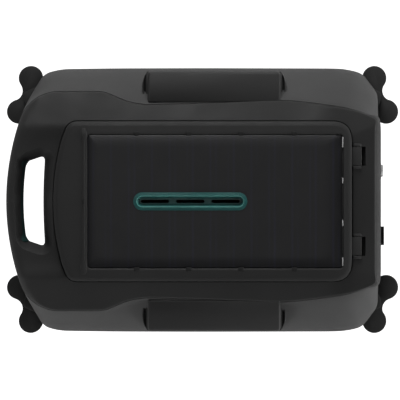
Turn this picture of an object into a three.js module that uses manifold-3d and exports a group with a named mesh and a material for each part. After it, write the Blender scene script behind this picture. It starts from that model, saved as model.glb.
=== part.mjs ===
// Robotic pool cleaner: tracked chassis, lift-up lid, filter basket, pump and guide rollers.
// Millimetres, +Z up. X runs from the carrying handle (-X) to the hinged end of the lid (+X).
// The origin is on the ground, under the middle of the cleaner.

import * as THREE from 'three';
import { mergeVertices } from 'three/addons/utils/BufferGeometryUtils.js';
import Module from 'manifold-3d';

const wasm = await Module();
wasm.setup();

// Fits
const GAP = 0.3;
const WALL = 3;
const SEAM = 0.8;

// Overall shape
const HALF_LENGTH = 225;
const HALF_WIDTH = 153.5;
const LID_TOP = 200;
const LID_EDGE_TOP = 191;
const DECK_TOP = 178;
const DECK_THICKNESS = 10;
const SHELL_SPLIT = 108;
const HULL_FRONT = -176;
const HULL_REAR = 204;
const HULL_HALF_WIDTH = 104.5;
const TUB_FRONT = -175;
const TUB_REAR = 196;

// Handle
const HANDLE_REACH = 223.9;
const HANDLE_BOW = 11.4;
const HANDLE_HALF_SPAN = 80;
const HANDLE_BOTTOM = 152;
const GRIP_OUTER = -204.4;
const GRIP_INNER = -180.5;
const GRIP_HALF_SPAN = 52;
const LINER = { depth: 6, halfWidth: 40, bottom: HANDLE_BOTTOM + 6, top: DECK_TOP - 7 };

// The deck's two ends stand higher than its sides
const END_TOP = 188;
const END_HALF_WIDTH = 86;
const END_INNER_X = 150;

// Lid
const LID_REAR = 171.6;
const LID_HALF_WIDTH = 91.5;
const LID_FRONT = -169.7;
const LID_BOW = 10.1;
const LID_BOW_HALF_SPAN = 72;
const LID_BOTTOM = 185;
const LEDGE_TOP = 182;
const LEDGE_WIDTH = 8;
const WINDOW = { front: -131, rear: 162, halfWidth: 76.8, bottom: 192.5, top: 198.5 };
const HINGE = { x: 177.5, z: 188, pinRadius: 2, inner: 41, outer: 62, pinInner: 37, pinOuter: 66 };
const POCKET = { reach: 10, bottom: 172, wall: 3 };
const LATCH = { x: -158, thickness: 4, halfWidth: 14, bottom: 170, beadTop: 175 };
const GASKET = { outer: 2.4, inner: 5.6 };

// Outlet slot in the lid
const OUTLET = { x: -13, length: 131, width: 20.6, rim: 4 };
const GRILLE = { bottom: 188, top: 194, slotLength: 32, slotWidth: 5, pitch: 40.5 };

// Drive
const WHEEL_Z = 48;
const FRONT_WHEEL_X = -112;
const REAR_WHEEL_X = 128;
const TRACK_OUTER_RADIUS = 48;
const TREAD_HEIGHT = 3;
const BELT_THICKNESS = 3.5;
const TRACK_INNER_Y = 113;
const TRACK_OUTER_Y = 141;
const AXLE_RADIUS = 5;
const DRIVE = { canRadius: 19, gearRadius: 15, inner: 66, middle: 96, outer: 99.5 };

// Brushes
const BRUSH = {
  frontX: -152, rearX: 176, z: 27.5, radius: 26.5, core: 13, halfWidth: 85.5, stub: 4, fins: 10,
};

// Guide rollers at the corners
const ROLLER_RADIUS = 13.9;
const ROLLER_BOTTOM = 36;
const ROLLER_TOP = 66;
const OUTER_ROLLER = { x: HALF_LENGTH - ROLLER_RADIUS, y: 101 };
const INNER_ROLLER = { x: 197.5, y: HALF_WIDTH - ROLLER_RADIUS };

// Filter basket and pump
const BASKET = { front: -134, rear: 140, halfWidth: 76, bottom: 96, top: 172 };
const BASKET_WELL = { front: -86, rear: 60, halfWidth: 35 };
const INLET = { frontX: -108, rearX: 106, halfLength: 11, halfWidth: 52 };
const MOTOR_BOX = { front: -66, rear: 72, halfWidth: 62, bottom: 26, top: 84 };
const PUMP = { radius: 22, top: 78, shaftRadius: 4, shaftHole: 5 };
const IMPELLER = { bottom: 101, top: 118, hubRadius: 9, bladeLength: 19, blades: 5, pitch: 0.5 };
const DUCT = { radius: 28, bottom: 100, shoulder: 128, slotStart: 172, top: 179, legRadius: 2.5 };
const CELL = { x: 40, z: 40, pitch: 17.5, radius: 9, halfLength: 52 };
const BOARD = { x: -60, thickness: 2, halfWidth: 50, bottom: 32, top: 78 };
const CHIP = { height: 4, width: 16, bottom: 44, top: 60 };

// Rear face fittings
const PORT = { y: -40.5, z: 132, radius: 8, bore: 5, flange: 11, inner: 186 };
const CAP = { halfWidth: 10.5, halfHeight: 12, front: 204.5, back: 208.6, hingeX: 206.8, hingeDrop: 13.5 };
const BUTTON = { y: 34, z: 132, radius: 7, front: 192, collar: 197, back: 207.5 };

// Colours
const COLOURS = {
  shell: 0x2b2b2c,
  side: 0x4c4c4d,
  pod: 0x2a2a2b,
  window: 0x1c1c20,
  teal: 0x2f6f6a,
  rubber: 0x161617,
  mesh: 0x3a3f42,
  steel: 0x9a9da0,
  board: 0x1d4a2c,
  cell: 0x2c3f63,
};

// Solids

function toSolid(geometry) {
  const plain = geometry.clone();
  plain.deleteAttribute('normal');
  plain.deleteAttribute('uv');
  const merged = mergeVertices(plain, 1e-4);
  const vertProperties = new Float32Array(merged.attributes.position.array);
  const triVerts = new Uint32Array(merged.index.array);
  return new wasm.Manifold(new wasm.Mesh({ numProp: 3, vertProperties, triVerts }));
}

function toGeometry(solid) {
  const { vertProperties, triVerts } = solid.getMesh();
  const geometry = new THREE.BufferGeometry();
  geometry.setAttribute('position', new THREE.BufferAttribute(new Float32Array(vertProperties), 3));
  geometry.setIndex(new THREE.BufferAttribute(new Uint32Array(triVerts), 1));
  geometry.computeVertexNormals();
  return geometry;
}

const join = (solids) => solids.reduce((sum, solid) => sum.add(solid));
const cut = (solid, tools) => tools.reduce((rest, tool) => rest.subtract(tool), solid);

// A block between two opposite corners.
function block(x0, x1, y0, y1, z0, z1) {
  const geometry = new THREE.BoxGeometry(x1 - x0, y1 - y0, z1 - z0);
  geometry.translate((x0 + x1) / 2, (y0 + y1) / 2, (z0 + z1) / 2);
  return toSolid(geometry);
}

// A flat outline raised from z0 to z1.
function slab(points, z0, z1) {
  const geometry = new THREE.ExtrudeGeometry(new THREE.Shape(points), {
    depth: z1 - z0,
    bevelEnabled: false,
  });
  geometry.translate(0, 0, z0);
  return toSolid(geometry);
}

// A side view, points of X and Z, extended across the cleaner from y0 to y1.
function sideProfile(points, y0, y1) {
  const geometry = new THREE.ExtrudeGeometry(new THREE.Shape(points), {
    depth: y1 - y0,
    bevelEnabled: false,
  });
  geometry.rotateX(Math.PI / 2);
  geometry.translate(0, y1, 0);
  return toSolid(geometry);
}

// A turned shape: pairs of radius and distance along the axis, starting and ending on the axis, Y.
function turned(profile, segments) {
  const points = profile.map(([radius, height]) => new THREE.Vector2(radius, height));
  return new THREE.LatheGeometry(points, segments);
}

// The same, about an upright axis through x and y.
function turnedUpright(profile, x, y, segments) {
  return toSolid(turned(profile, segments).rotateX(Math.PI / 2).translate(x, y, 0));
}

function rodZ(x, y, radius, z0, z1, segments = 20) {
  return turnedUpright([[0, z0], [radius, z0], [radius, z1], [0, z1]], x, y, segments);
}

function rodY(x, z, radius, y0, y1, segments = 20) {
  const geometry = turned([[0, y0], [radius, y0], [radius, y1], [0, y1]], segments);
  geometry.translate(x, 0, z);
  return toSolid(geometry);
}

function rodX(y, z, radius, x0, x1, segments = 20) {
  const geometry = turned([[0, x0], [radius, x0], [radius, x1], [0, x1]], segments);
  geometry.rotateZ(-Math.PI / 2);
  geometry.translate(0, y, z);
  return toSolid(geometry);
}

// Stacked outlines with the same number of points, lowest first, as one closed solid.
function loft(rings) {
  const count = rings[0].length;
  const vertices = rings.flat().flatMap((point) => [point.x, point.y, point.z]);
  const triangles = [];
  for (let ring = 0; ring < rings.length - 1; ring += 1) {
    for (let i = 0; i < count; i += 1) {
      const a = ring * count + i;
      const b = ring * count + ((i + 1) % count);
      triangles.push(a, b, b + count, a, b + count, a + count);
    }
  }
  const last = (rings.length - 1) * count;
  const flat = (ring) => ring.map((point) => new THREE.Vector2(point.x, point.y));
  for (const [a, b, c] of THREE.ShapeUtils.triangulateShape(flat(rings[0]), [])) {
    triangles.push(c, b, a);
  }
  for (const [a, b, c] of THREE.ShapeUtils.triangulateShape(flat(rings.at(-1)), [])) {
    triangles.push(last + a, last + b, last + c);
  }
  const geometry = new THREE.BufferGeometry();
  geometry.setAttribute('position', new THREE.Float32BufferAttribute(vertices, 3));
  geometry.setIndex(triangles);
  return toSolid(geometry);
}

// Outlines, seen from above and counter-clockwise

const vector = ([x, y]) => new THREE.Vector2(x, y);
const atHeight = (points, z) => points.map((point) => new THREE.Vector3(point.x, point.y, z));

// Corners given as x, y and how far back along both edges the round starts.
function rounded(corners, steps = 3) {
  return corners.flatMap((corner, i) => {
    const here = vector(corner);
    if (!corner[2]) {
      return [here];
    }
    const before = vector(corners.at(i - 1)).sub(here).setLength(corner[2]).add(here);
    const after = vector(corners[(i + 1) % corners.length]).sub(here).setLength(corner[2]).add(here);
    return new THREE.QuadraticBezierCurve(before, here, after).getPoints(steps);
  });
}

// The half at positive Y, rear to front, and its mirror image.
function mirrored(half) {
  const other = half.filter(([, y]) => y > 0).reverse();
  return [...half, ...other.map(([x, y, round]) => [x, -y, round])];
}

// Moves an outline inwards by a distance, or outwards by a negative one.
function inset(points, distance) {
  return points.map((point, i) => {
    const before = point.clone().sub(points.at(i - 1)).normalize();
    const after = points[(i + 1) % points.length].clone().sub(point).normalize();
    const normal = new THREE.Vector2(-before.y - after.y, before.x + after.x).normalize();
    const slant = Math.max(0.5, normal.dot(new THREE.Vector2(-before.y, before.x)));
    return point.clone().addScaledVector(normal, distance / slant);
  });
}

function rectangle(x0, x1, halfWidth, round) {
  return rounded(mirrored([[x1, halfWidth, round], [x0, halfWidth, round]]));
}

// A slot with round ends along X.
function stadium(x, y, length, width, steps = 7) {
  const radius = width / 2;
  const points = [];
  for (const side of [1, -1]) {
    for (let i = 0; i <= steps; i += 1) {
      const angle = -Math.PI / 2 + (Math.PI * i) / steps;
      const centre = x + side * (length / 2 - radius);
      points.push([centre + side * radius * Math.cos(angle), y + side * radius * Math.sin(angle)]);
    }
  }
  return points.map(vector);
}

function arcCorners(apex, bow, halfSpan, steps) {
  const corners = [];
  for (let i = 0; i <= steps; i += 1) {
    const y = halfSpan * (1 - i / steps);
    corners.push([apex + bow * (y / halfSpan) ** 2, y]);
  }
  return corners;
}

// The deck: rear end, the crease above the side covers, the front corner and the handle's bow.
const DECK_HALF = [
  [HULL_REAR + 1, 88, 8],
  [200, 106.5, 4],
  [160, 109.5, 20],
  [95, 115, 20],
  [-66, 110, 10],
  [-86, 114, 6],
  [-112, 125.2, 6],
  [-172, 125.2, 12],
  [-197, 113, 5],
  ...arcCorners(-HANDLE_REACH, HANDLE_BOW, HANDLE_HALF_SPAN, 6),
];
const DECK = rounded(mirrored(DECK_HALF), 3);

const LID = rounded(mirrored([
  [LID_REAR, LID_HALF_WIDTH, 23],
  [-152, LID_HALF_WIDTH, 10],
  ...arcCorners(LID_FRONT, LID_BOW, LID_BOW_HALF_SPAN, 4),
]));

const GRIP = rounded(mirrored([
  [GRIP_INNER, GRIP_HALF_SPAN, 6],
  [GRIP_OUTER, GRIP_HALF_SPAN - 8, 6],
]));

// Upper shell with the handle, the lid's seat and the hinge pockets

function hingePocket(side) {
  const y = side * (HINGE.inner + HINGE.outer) / 2;
  const half = (HINGE.outer - HINGE.inner) / 2 + SEAM;
  return block(LID_REAR - 6, HINGE.x + POCKET.reach, y - half, y + half, POCKET.bottom, LID_TOP);
}

function hingeBoss(side) {
  const y = side * (HINGE.inner + HINGE.outer) / 2;
  const half = (HINGE.outer - HINGE.inner) / 2 + 2 * POCKET.wall;
  const top = LID_EDGE_TOP - 3;
  const back = HINGE.x + POCKET.reach + POCKET.wall;
  return block(LID_REAR + 1, back, y - half, y + half, POCKET.bottom + 2, top);
}

function onSideY(side, inner, outer) {
  return side > 0 ? [inner, outer] : [-outer, -inner];
}

// The level ends of the deck, at the handle and at the hinges.
function deckEnds() {
  const reach = HALF_LENGTH + 5;
  const whole = loft([atHeight(inset(DECK, 1.5), DECK_TOP - 1), atHeight(inset(DECK, 3), END_TOP)]);
  const end = (x0, x1) => block(x0, x1, -END_HALF_WIDTH, END_HALF_WIDTH, DECK_TOP - 8, END_TOP + 2);
  return whole.intersect(join([end(-reach, -END_INNER_X), end(END_INNER_X, reach)]));
}

function upperShell() {
  const body = slab(rectangle(HULL_FRONT, HULL_REAR, HULL_HALF_WIDTH, 14), SHELL_SPLIT, DECK_TOP - 1);
  const deck = loft([
    atHeight(inset(DECK, 1.5), DECK_TOP - DECK_THICKNESS),
    atHeight(DECK, DECK_TOP - DECK_THICKNESS + 2),
    atHeight(DECK, DECK_TOP - 4),
    atHeight(inset(DECK, 3), DECK_TOP),
  ]);
  const handleHalf = HANDLE_HALF_SPAN + 8;
  const handle = slab(inset(DECK, 1.5), HANDLE_BOTTOM, DECK_TOP - 3)
    .intersect(block(-HALF_LENGTH, HULL_FRONT + 4, -handleHalf, handleHalf, HANDLE_BOTTOM - 1, DECK_TOP));
  const crown = loft([
    atHeight(inset(LID, -17), DECK_TOP - 1),
    atHeight(inset(LID, -9), DECK_TOP + 8),
    atHeight(inset(LID, -2), LID_EDGE_TOP),
  ]).intersect(block(GRIP_INNER, HULL_REAR, -120, 120, DECK_TOP - 8, LID_TOP));
  const inside = slab(rectangle(HULL_FRONT + WALL, HULL_REAR - WALL, HULL_HALF_WIDTH - WALL, 12),
    SHELL_SPLIT - 1, DECK_TOP - 4);
  const rearHollow = block(LID_REAR + LEDGE_WIDTH - 3, HULL_REAR - 11, -END_HALF_WIDTH + 6,
    END_HALF_WIDTH - 6, DECK_TOP - 6, END_TOP - WALL);
  const linerSeat = block(GRIP_OUTER - LINER.depth, GRIP_OUTER + 1, -LINER.halfWidth, LINER.halfWidth,
    LINER.bottom, LINER.top);
  const solid = cut(join([body, deck, handle, crown, deckEnds()]), [inside, rearHollow]);
  const bosses = join([hingeBoss(1), hingeBoss(-1)]);
  const pinHole = (side) => rodY(HINGE.x, HINGE.z, HINGE.pinRadius + GAP,
    ...onSideY(side, HINGE.pinInner, HINGE.pinOuter), 16);
  return cut(solid.add(bosses), [
    slab(inset(LID, -SEAM - 0.4), LEDGE_TOP, LID_TOP),
    slab(inset(LID, LEDGE_WIDTH), HANDLE_BOTTOM, LID_TOP),
    slab(GRIP, HANDLE_BOTTOM - 10, LID_TOP),
    linerSeat,
    hingePocket(1),
    hingePocket(-1),
    pinHole(1),
    pinHole(-1),
    rodX(PORT.y, PORT.z, PORT.radius + GAP, HULL_REAR - 9, HULL_REAR + 6),
    rodX(BUTTON.y, BUTTON.z, BUTTON.radius + GAP, HULL_REAR - 9, HULL_REAR + 6),
  ]);
}

// Soft strip let into the handle's inner face, where the fingers close.
function handleLiner() {
  return block(GRIP_OUTER - LINER.depth + GAP, GRIP_OUTER + 0.5, -LINER.halfWidth + GAP,
    LINER.halfWidth - GAP, LINER.bottom + GAP, LINER.top - GAP);
}

// Lid

function lidFrame() {
  const skin = loft([
    atHeight(LID, LID_BOTTOM),
    atHeight(LID, LID_EDGE_TOP - 1.5),
    atHeight(inset(LID, 1.5), LID_EDGE_TOP),
    atHeight(inset(LID, 11), LID_TOP),
  ]);
  const hollow = slab(inset(LID, 9), LID_BOTTOM - 1, LID_EDGE_TOP);
  const knuckle = (side) => block(LID_REAR - 5, HINGE.x + 5.3,
    ...onSideY(side, HINGE.inner, HINGE.outer), LID_BOTTOM, LID_EDGE_TOP);
  const solid = join([cut(skin, [hollow]), knuckle(1), knuckle(-1)]);
  const pinHole = rodY(HINGE.x, HINGE.z, HINGE.pinRadius + GAP, -HINGE.pinOuter, HINGE.pinOuter, 16);
  return cut(solid, [
    slab(rectangle(WINDOW.front, WINDOW.rear, WINDOW.halfWidth, 5), WINDOW.bottom, LID_TOP + 5),
    slab(rectangle(WINDOW.front + 5, WINDOW.rear - 5, WINDOW.halfWidth - 5, 5), LEDGE_TOP, LID_TOP + 5),
    pinHole,
  ]);
}

function lidWindow() {
  const plate = slab(rectangle(WINDOW.front + GAP, WINDOW.rear - GAP, WINDOW.halfWidth - GAP, 5),
    WINDOW.bottom + GAP, WINDOW.top);
  return cut(plate, [slab(stadium(OUTLET.x, 0, OUTLET.length - 2, OUTLET.width - 2), LEDGE_TOP, LID_TOP)]);
}

function outletNozzle() {
  const rim = slab(stadium(OUTLET.x, 0, OUTLET.length - 2.6, OUTLET.width - 2.6),
    LEDGE_TOP, WINDOW.top + GAP);
  const lip = loft([
    atHeight(stadium(OUTLET.x, 0, OUTLET.length, OUTLET.width), WINDOW.top + GAP),
    atHeight(stadium(OUTLET.x, 0, OUTLET.length - 1, OUTLET.width - 1), LID_TOP - 0.2),
  ]);
  const opening = stadium(OUTLET.x, 0, OUTLET.length - 2 * OUTLET.rim, OUTLET.width - 2 * OUTLET.rim);
  return cut(rim.add(lip), [slab(opening, DECK_TOP, LID_TOP + 5)]);
}

// Bar with three long slots, set into the outlet.
function outletGrille() {
  const trim = 2 * (OUTLET.rim + GAP);
  const bar = slab(stadium(OUTLET.x, 0, OUTLET.length - trim, OUTLET.width - trim),
    GRILLE.bottom, GRILLE.top);
  const slots = [-1, 0, 1].map((i) => slab(
    stadium(OUTLET.x + i * GRILLE.pitch, 0, GRILLE.slotLength, GRILLE.slotWidth, 4),
    GRILLE.bottom - 5, GRILLE.top + 5,
  ));
  return cut(bar, slots);
}

function lidLatch() {
  const back = LATCH.x + LATCH.thickness;
  const arm = block(LATCH.x, back, -LATCH.halfWidth, LATCH.halfWidth, LATCH.bottom, LID_EDGE_TOP - GAP);
  const bead = block(back - 0.5, back + 2, -LATCH.halfWidth + 2, LATCH.halfWidth - 2, LATCH.bottom + 1,
    LATCH.beadTop);
  return arm.add(bead);
}

function lidGasket() {
  return cut(slab(inset(LID, GASKET.outer), LEDGE_TOP + GAP, LID_BOTTOM - GAP),
    [slab(inset(LID, GASKET.inner), DECK_TOP, LID_TOP)]);
}

function hingePin(side) {
  const ends = onSideY(side, HINGE.pinInner + SEAM / 2, HINGE.pinOuter - SEAM / 2);
  return rodY(HINGE.x, HINGE.z, HINGE.pinRadius, ...ends, 12);
}

// Lower shell: floor, brush arches, cheeks for the axles and the two inlet chimneys

const ARCH = 29.5;

function archPoints(x, from, to, steps = 6) {
  const points = [];
  for (let i = 0; i <= steps; i += 1) {
    const angle = from + ((to - from) * i) / steps;
    points.push(new THREE.Vector2(x + ARCH * Math.cos(angle), BRUSH.z + ARCH * Math.sin(angle)));
  }
  return points;
}

function tubProfile(depth) {
  const frontAngle = Math.acos((TUB_FRONT - BRUSH.frontX) / ARCH);
  const rearAngle = Math.acos((TUB_REAR - BRUSH.rearX) / ARCH);
  return inset([
    new THREE.Vector2(TUB_REAR, SHELL_SPLIT - GAP),
    new THREE.Vector2(TUB_FRONT, SHELL_SPLIT - GAP),
    ...archPoints(BRUSH.frontX, frontAngle, -0.2),
    ...archPoints(BRUSH.rearX, Math.PI + 0.2, rearAngle),
  ], depth);
}

function chimney(x) {
  const outer = rectangle(x - INLET.halfLength - 2, x + INLET.halfLength + 2, INLET.halfWidth + 2, 5);
  return slab(outer, 22.5, BASKET.bottom - 4);
}

function chimneyHole(x) {
  const inner = rectangle(x - INLET.halfLength, x + INLET.halfLength, INLET.halfWidth, 4);
  return slab(inner, 10, BASKET.bottom);
}

function lowerShell() {
  const half = HULL_HALF_WIDTH - 1;
  const tub = sideProfile(tubProfile(0), -half, half);
  const hollow = sideProfile(tubProfile(WALL), -half + WALL, half - WALL);
  const openTop = block(TUB_FRONT + WALL, TUB_REAR - WALL, -half + WALL, half - WALL, 90, 120);
  const cheek = (y) => sideProfile([
    [TUB_REAR, SHELL_SPLIT - GAP], [TUB_FRONT, SHELL_SPLIT - GAP], [TUB_FRONT, 30],
    [TUB_FRONT + 14, 14], [TUB_REAR - 14, 14], [TUB_REAR, 30],
  ].map(vector), y, y + WALL);
  const shell = join([cut(tub, [hollow, openTop]), cheek(-half), cheek(half - WALL)]);
  const withInlets = join([shell, chimney(INLET.frontX), chimney(INLET.rearX)]);
  return cut(withInlets, [
    chimneyHole(INLET.frontX),
    chimneyHole(INLET.rearX),
    ...[BRUSH.frontX, BRUSH.rearX].map((x) => rodY(x, BRUSH.z, BRUSH.stub + 2 * GAP, -120, 120)),
    ...[FRONT_WHEEL_X, REAR_WHEEL_X].map((x) => rodY(x, WHEEL_Z, AXLE_RADIUS + GAP, -120, 120)),
  ]);
}

// Side covers: skirt, slope up to the crease, and the pods in their middle

const COVER_EDGE = [
  [201.5, 107.5], [201, 121], [183.5, 144.3], [174, 147.2], [160, 148.4], [100, 149.8],
  [0, 150], [-66, 149.6], [-112, 148.8], [-160, 147.2], [-181, 141.5], [-197.5, 117], [-201, 107.5],
];
const COVER_CREASE = [
  [201, 107.5], [199, 108], [192, 108.4], [182, 108.8], [162, 110.2], [100, 115.5],
  [0, 113.2], [-66, 110.9], [-112, 126.2], [-158, 126.2], [-178, 123.9], [-194, 114.5], [-197, 107.5],
];
const COVER_SKIRT_BOTTOM = 50;
const POD_BOTTOM = 66;
const POD_TOP = 181;

function mixOutlines(a, b, t) {
  return a.map(([x, y], i) => new THREE.Vector2(x + (b[i][0] - x) * t, y + (b[i][1] - y) * t));
}

function coverRings(depth) {
  const rise = depth > 0 ? -depth : 0;
  const levels = [
    [0, COVER_SKIRT_BOTTOM - depth], [0, 122], [0.12, 140], [0.45, 160], [1, DECK_TOP - 1],
  ];
  return levels.map(([t, z]) => {
    const ring = inset(mixOutlines(COVER_EDGE, COVER_CREASE, t), depth);
    if (depth > 0) {
      ring[0].y = 100;
      ring.at(-1).y = 100;
    }
    return atHeight(ring, z > 100 ? z + rise : z);
  });
}

const POD_OUTER_Y = 148.8;

function podOutline(outer) {
  return rounded([[90, 112.6, 5], [90, outer, 9], [-62, outer, 9], [-62, 112.6, 5]], 4);
}

const POD = podOutline(POD_OUTER_Y);

function mirrorY(solid) {
  return solid.mirror([0, 1, 0]);
}

function sideCover() {
  return cut(loft(coverRings(0)), [
    loft(coverRings(WALL)),
    slab(inset(DECK, -GAP), DECK_TOP - DECK_THICKNESS - GAP, LID_TOP),
    slab(inset(podOutline(POD_OUTER_Y + 5), -GAP), POD_BOTTOM, LID_TOP),
    block(-240, -164, 90, 160, 20, 76),
    block(168, 240, 90, 160, 20, 76),
  ]);
}

function sidePod() {
  const body = loft([
    atHeight(POD, POD_BOTTOM + GAP), atHeight(POD, POD_TOP - 3), atHeight(inset(POD, 2.5), POD_TOP),
  ]);
  return cut(body, [
    slab(inset(POD, WALL), COVER_SKIRT_BOTTOM, POD_TOP - 2 * WALL),
    block(-80, 110, 100, POD_OUTER_Y - WALL, COVER_SKIRT_BOTTOM, 104),
    slab(inset(DECK, -GAP), DECK_TOP - DECK_THICKNESS - GAP, LID_TOP),
  ]);
}

// Filter basket, its screen and its grip

const basketOutline = rectangle(BASKET.front, BASKET.rear, BASKET.halfWidth, 10);
const wellOutline = rectangle(BASKET_WELL.front, BASKET_WELL.rear, BASKET_WELL.halfWidth, 14);

function basketWindows() {
  const windows = [];
  for (const side of [1, -1]) {
    for (let i = 0; i < 5; i += 1) {
      const x = BASKET.front + 22 + i * 50;
      windows.push(block(x, x + 36, side * 76 - 5, side * 76 + 5, BASKET.bottom + 12, BASKET.top - 16));
    }
  }
  return windows;
}

function filterBasket() {
  const tray = cut(slab(basketOutline, BASKET.bottom, BASKET.top), [
    slab(inset(basketOutline, WALL), BASKET.bottom + WALL, 200),
  ]);
  const well = slab(inset(wellOutline, -WALL), BASKET.bottom, BASKET.top - 6);
  const rim = cut(slab(inset(basketOutline, -4), BASKET.top - 4, BASKET.top), [
    slab(inset(basketOutline, WALL), 150, 200),
  ]);
  const inlet = (x) => slab(rectangle(x - INLET.halfLength, x + INLET.halfLength, INLET.halfWidth, 4),
    80, BASKET.bottom + 10);
  return cut(join([tray, well, rim]), [
    slab(wellOutline, 80, 200),
    inlet(INLET.frontX),
    inlet(INLET.rearX),
    ...basketWindows(),
  ]);
}

// Fine mesh sleeve lining the basket's long walls and its rear end.
function filterScreen() {
  const outer = inset(basketOutline, WALL + GAP);
  const sleeve = cut(slab(outer, BASKET.bottom + WALL + GAP, BASKET.top - 8), [
    slab(inset(outer, 1.2), 80, 200),
  ]);
  return sleeve;
}

function basketGrip() {
  const bar = block(66, 72, -70, 70, 162, 168);
  const feet = [1, -1].map((side) => block(64, 74, side * 66 - 4, side * 66 + 4, 154, 168));
  return join([bar, ...feet]);
}

function inletFlap(x, side) {
  const z = BASKET.bottom + WALL + 0.8;
  const plate = slab(rectangle(x - INLET.halfLength - 3, x + INLET.halfLength + 3,
    INLET.halfWidth + 3, 4), z, z + 1.8);
  const edge = x + side * (INLET.halfLength + 2);
  return plate.add(rodY(edge, z + 1.6, 1.9, -INLET.halfWidth, INLET.halfWidth, 12));
}

// Pump

function motorHousing() {
  const box = rectangle(MOTOR_BOX.front, MOTOR_BOX.rear, MOTOR_BOX.halfWidth, 8);
  return cut(slab(box, MOTOR_BOX.bottom, MOTOR_BOX.top), [
    slab(inset(box, WALL), MOTOR_BOX.bottom + WALL, MOTOR_BOX.top + 5),
  ]);
}

function motorHousingCap() {
  const box = rectangle(MOTOR_BOX.front, MOTOR_BOX.rear, MOTOR_BOX.halfWidth, 8);
  return cut(slab(box, MOTOR_BOX.top + GAP, MOTOR_BOX.top + 4), [
    rodZ(OUTLET.x, 0, PUMP.shaftHole, MOTOR_BOX.top - 5, MOTOR_BOX.top + 10),
  ]);
}

function pumpMotor() {
  const z = MOTOR_BOX.bottom + WALL + GAP;
  const { radius, top } = PUMP;
  return turnedUpright([
    [0, z], [radius - 2, z], [radius, z + 2], [radius, top - 2], [radius - 2, top], [8, top],
    [8, top + 3], [0, top + 3],
  ], OUTLET.x, 0, 28);
}

function impeller() {
  const { bottom, top, hubRadius, bladeLength, pitch } = IMPELLER;
  const shaftEnd = PUMP.top + 3.5;
  const hub = turnedUpright([
    [0, shaftEnd], [PUMP.shaftRadius, shaftEnd], [PUMP.shaftRadius, bottom],
    [hubRadius, bottom], [hubRadius, top], [0, top + 6],
  ], OUTLET.x, 0, 20);
  const blades = [];
  for (let i = 0; i < IMPELLER.blades; i += 1) {
    const blade = new THREE.BoxGeometry(bladeLength, 2, top - bottom - 3);
    blade.rotateX(pitch);
    blade.translate(hubRadius - 2 + bladeLength / 2, 0, (top + bottom) / 2);
    blade.rotateZ((i * 2 * Math.PI) / IMPELLER.blades);
    blade.translate(OUTLET.x, 0, 0);
    blades.push(toSolid(blade));
  }
  return join([hub, ...blades]);
}

function impellerDuct() {
  const steps = 9;
  const circle = (radius, z) => atHeight(stadium(0, 0, 2 * radius, 2 * radius, steps)
    .map((point) => new THREE.Vector2(point.x + OUTLET.x, point.y)), z);
  const slot = (grow, z) => atHeight(stadium(OUTLET.x, 0, OUTLET.length - 2 * OUTLET.rim + grow,
    OUTLET.width - 2 * OUTLET.rim + grow, steps), z);
  const { radius, bottom, shoulder, slotStart, top, legRadius } = DUCT;
  const outer = loft([
    circle(radius + WALL, bottom), circle(radius + WALL, shoulder),
    slot(2 * WALL, slotStart), slot(2 * WALL, top),
  ]);
  const inner = loft([
    circle(radius, bottom - 1), circle(radius, shoulder), slot(0, slotStart), slot(0, top + 1),
  ]);
  const legs = [45, 135, 225, 315].map((degrees) => {
    const angle = (degrees * Math.PI) / 180;
    const reach = radius + WALL / 2;
    return rodZ(OUTLET.x + reach * Math.cos(angle), reach * Math.sin(angle), legRadius,
      MOTOR_BOX.top + 4 + GAP, bottom + 1, 10);
  });
  return join([cut(outer, [inner]), ...legs]);
}

function batteryPack() {
  const cells = [];
  for (let row = 0; row < 2; row += 1) {
    for (let column = 0; column < 2; column += 1) {
      cells.push(rodY(CELL.x + column * CELL.pitch, CELL.z + row * CELL.pitch, CELL.radius,
        -CELL.halfLength, CELL.halfLength, 10));
    }
  }
  const holders = [-44, 44].map((y) => block(CELL.x - 6, CELL.x + 24, y - 2, y + 2, CELL.z - 6, CELL.z + 24));
  return join([...cells, ...holders]);
}

function controlBoard() {
  const face = BOARD.x + BOARD.thickness;
  const board = block(BOARD.x, face, -BOARD.halfWidth, BOARD.halfWidth, BOARD.bottom, BOARD.top);
  const chips = [-34, -10, 14].map((y) => block(face - 0.5, face + CHIP.height, y, y + CHIP.width,
    CHIP.bottom, CHIP.top));
  return join([board, ...chips]);
}

// Drive

function driveMotor(side) {
  const can = rodY(REAR_WHEEL_X, WHEEL_Z, DRIVE.canRadius, ...onSideY(side, DRIVE.inner, DRIVE.middle), 24);
  const gearbox = rodY(REAR_WHEEL_X, WHEEL_Z, DRIVE.gearRadius,
    ...onSideY(side, DRIVE.middle - 1, DRIVE.outer), 20);
  return can.add(gearbox);
}

const WHEEL_RADIUS = TRACK_OUTER_RADIUS - TREAD_HEIGHT - BELT_THICKNESS - 0.4;

// A wheel with a rim, a hub and five round holes through its web, on the Y axis.
function wheelBody(bore, axleEnd) {
  const inner = TRACK_INNER_Y + 1;
  const outer = TRACK_OUTER_Y - 1;
  const web = outer - 9;
  const profile = [
    [0, inner], [WHEEL_RADIUS, inner], [WHEEL_RADIUS, outer], [WHEEL_RADIUS - 5, outer],
    [WHEEL_RADIUS - 5, web], [13, web], [13, outer], [0, outer],
  ];
  const holes = [];
  for (let i = 0; i < 5; i += 1) {
    const angle = (i * 2 * Math.PI) / 5;
    holes.push(rodY(25 * Math.cos(angle), 25 * Math.sin(angle), 8, inner - 5, outer + 5, 8));
  }
  const wheel = cut(toSolid(turned(profile, 24)), holes);
  if (bore > 0) {
    return wheel.subtract(rodY(0, 0, bore, inner - 5, outer + 5, 12));
  }
  return wheel.add(rodY(0, 0, AXLE_RADIUS, axleEnd, inner + 1, 12));
}

function placedWheel(x, side, bore, axleEnd) {
  const wheel = wheelBody(bore, axleEnd).translate([x, 0, WHEEL_Z]);
  return side > 0 ? wheel : mirrorY(wheel);
}

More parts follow.
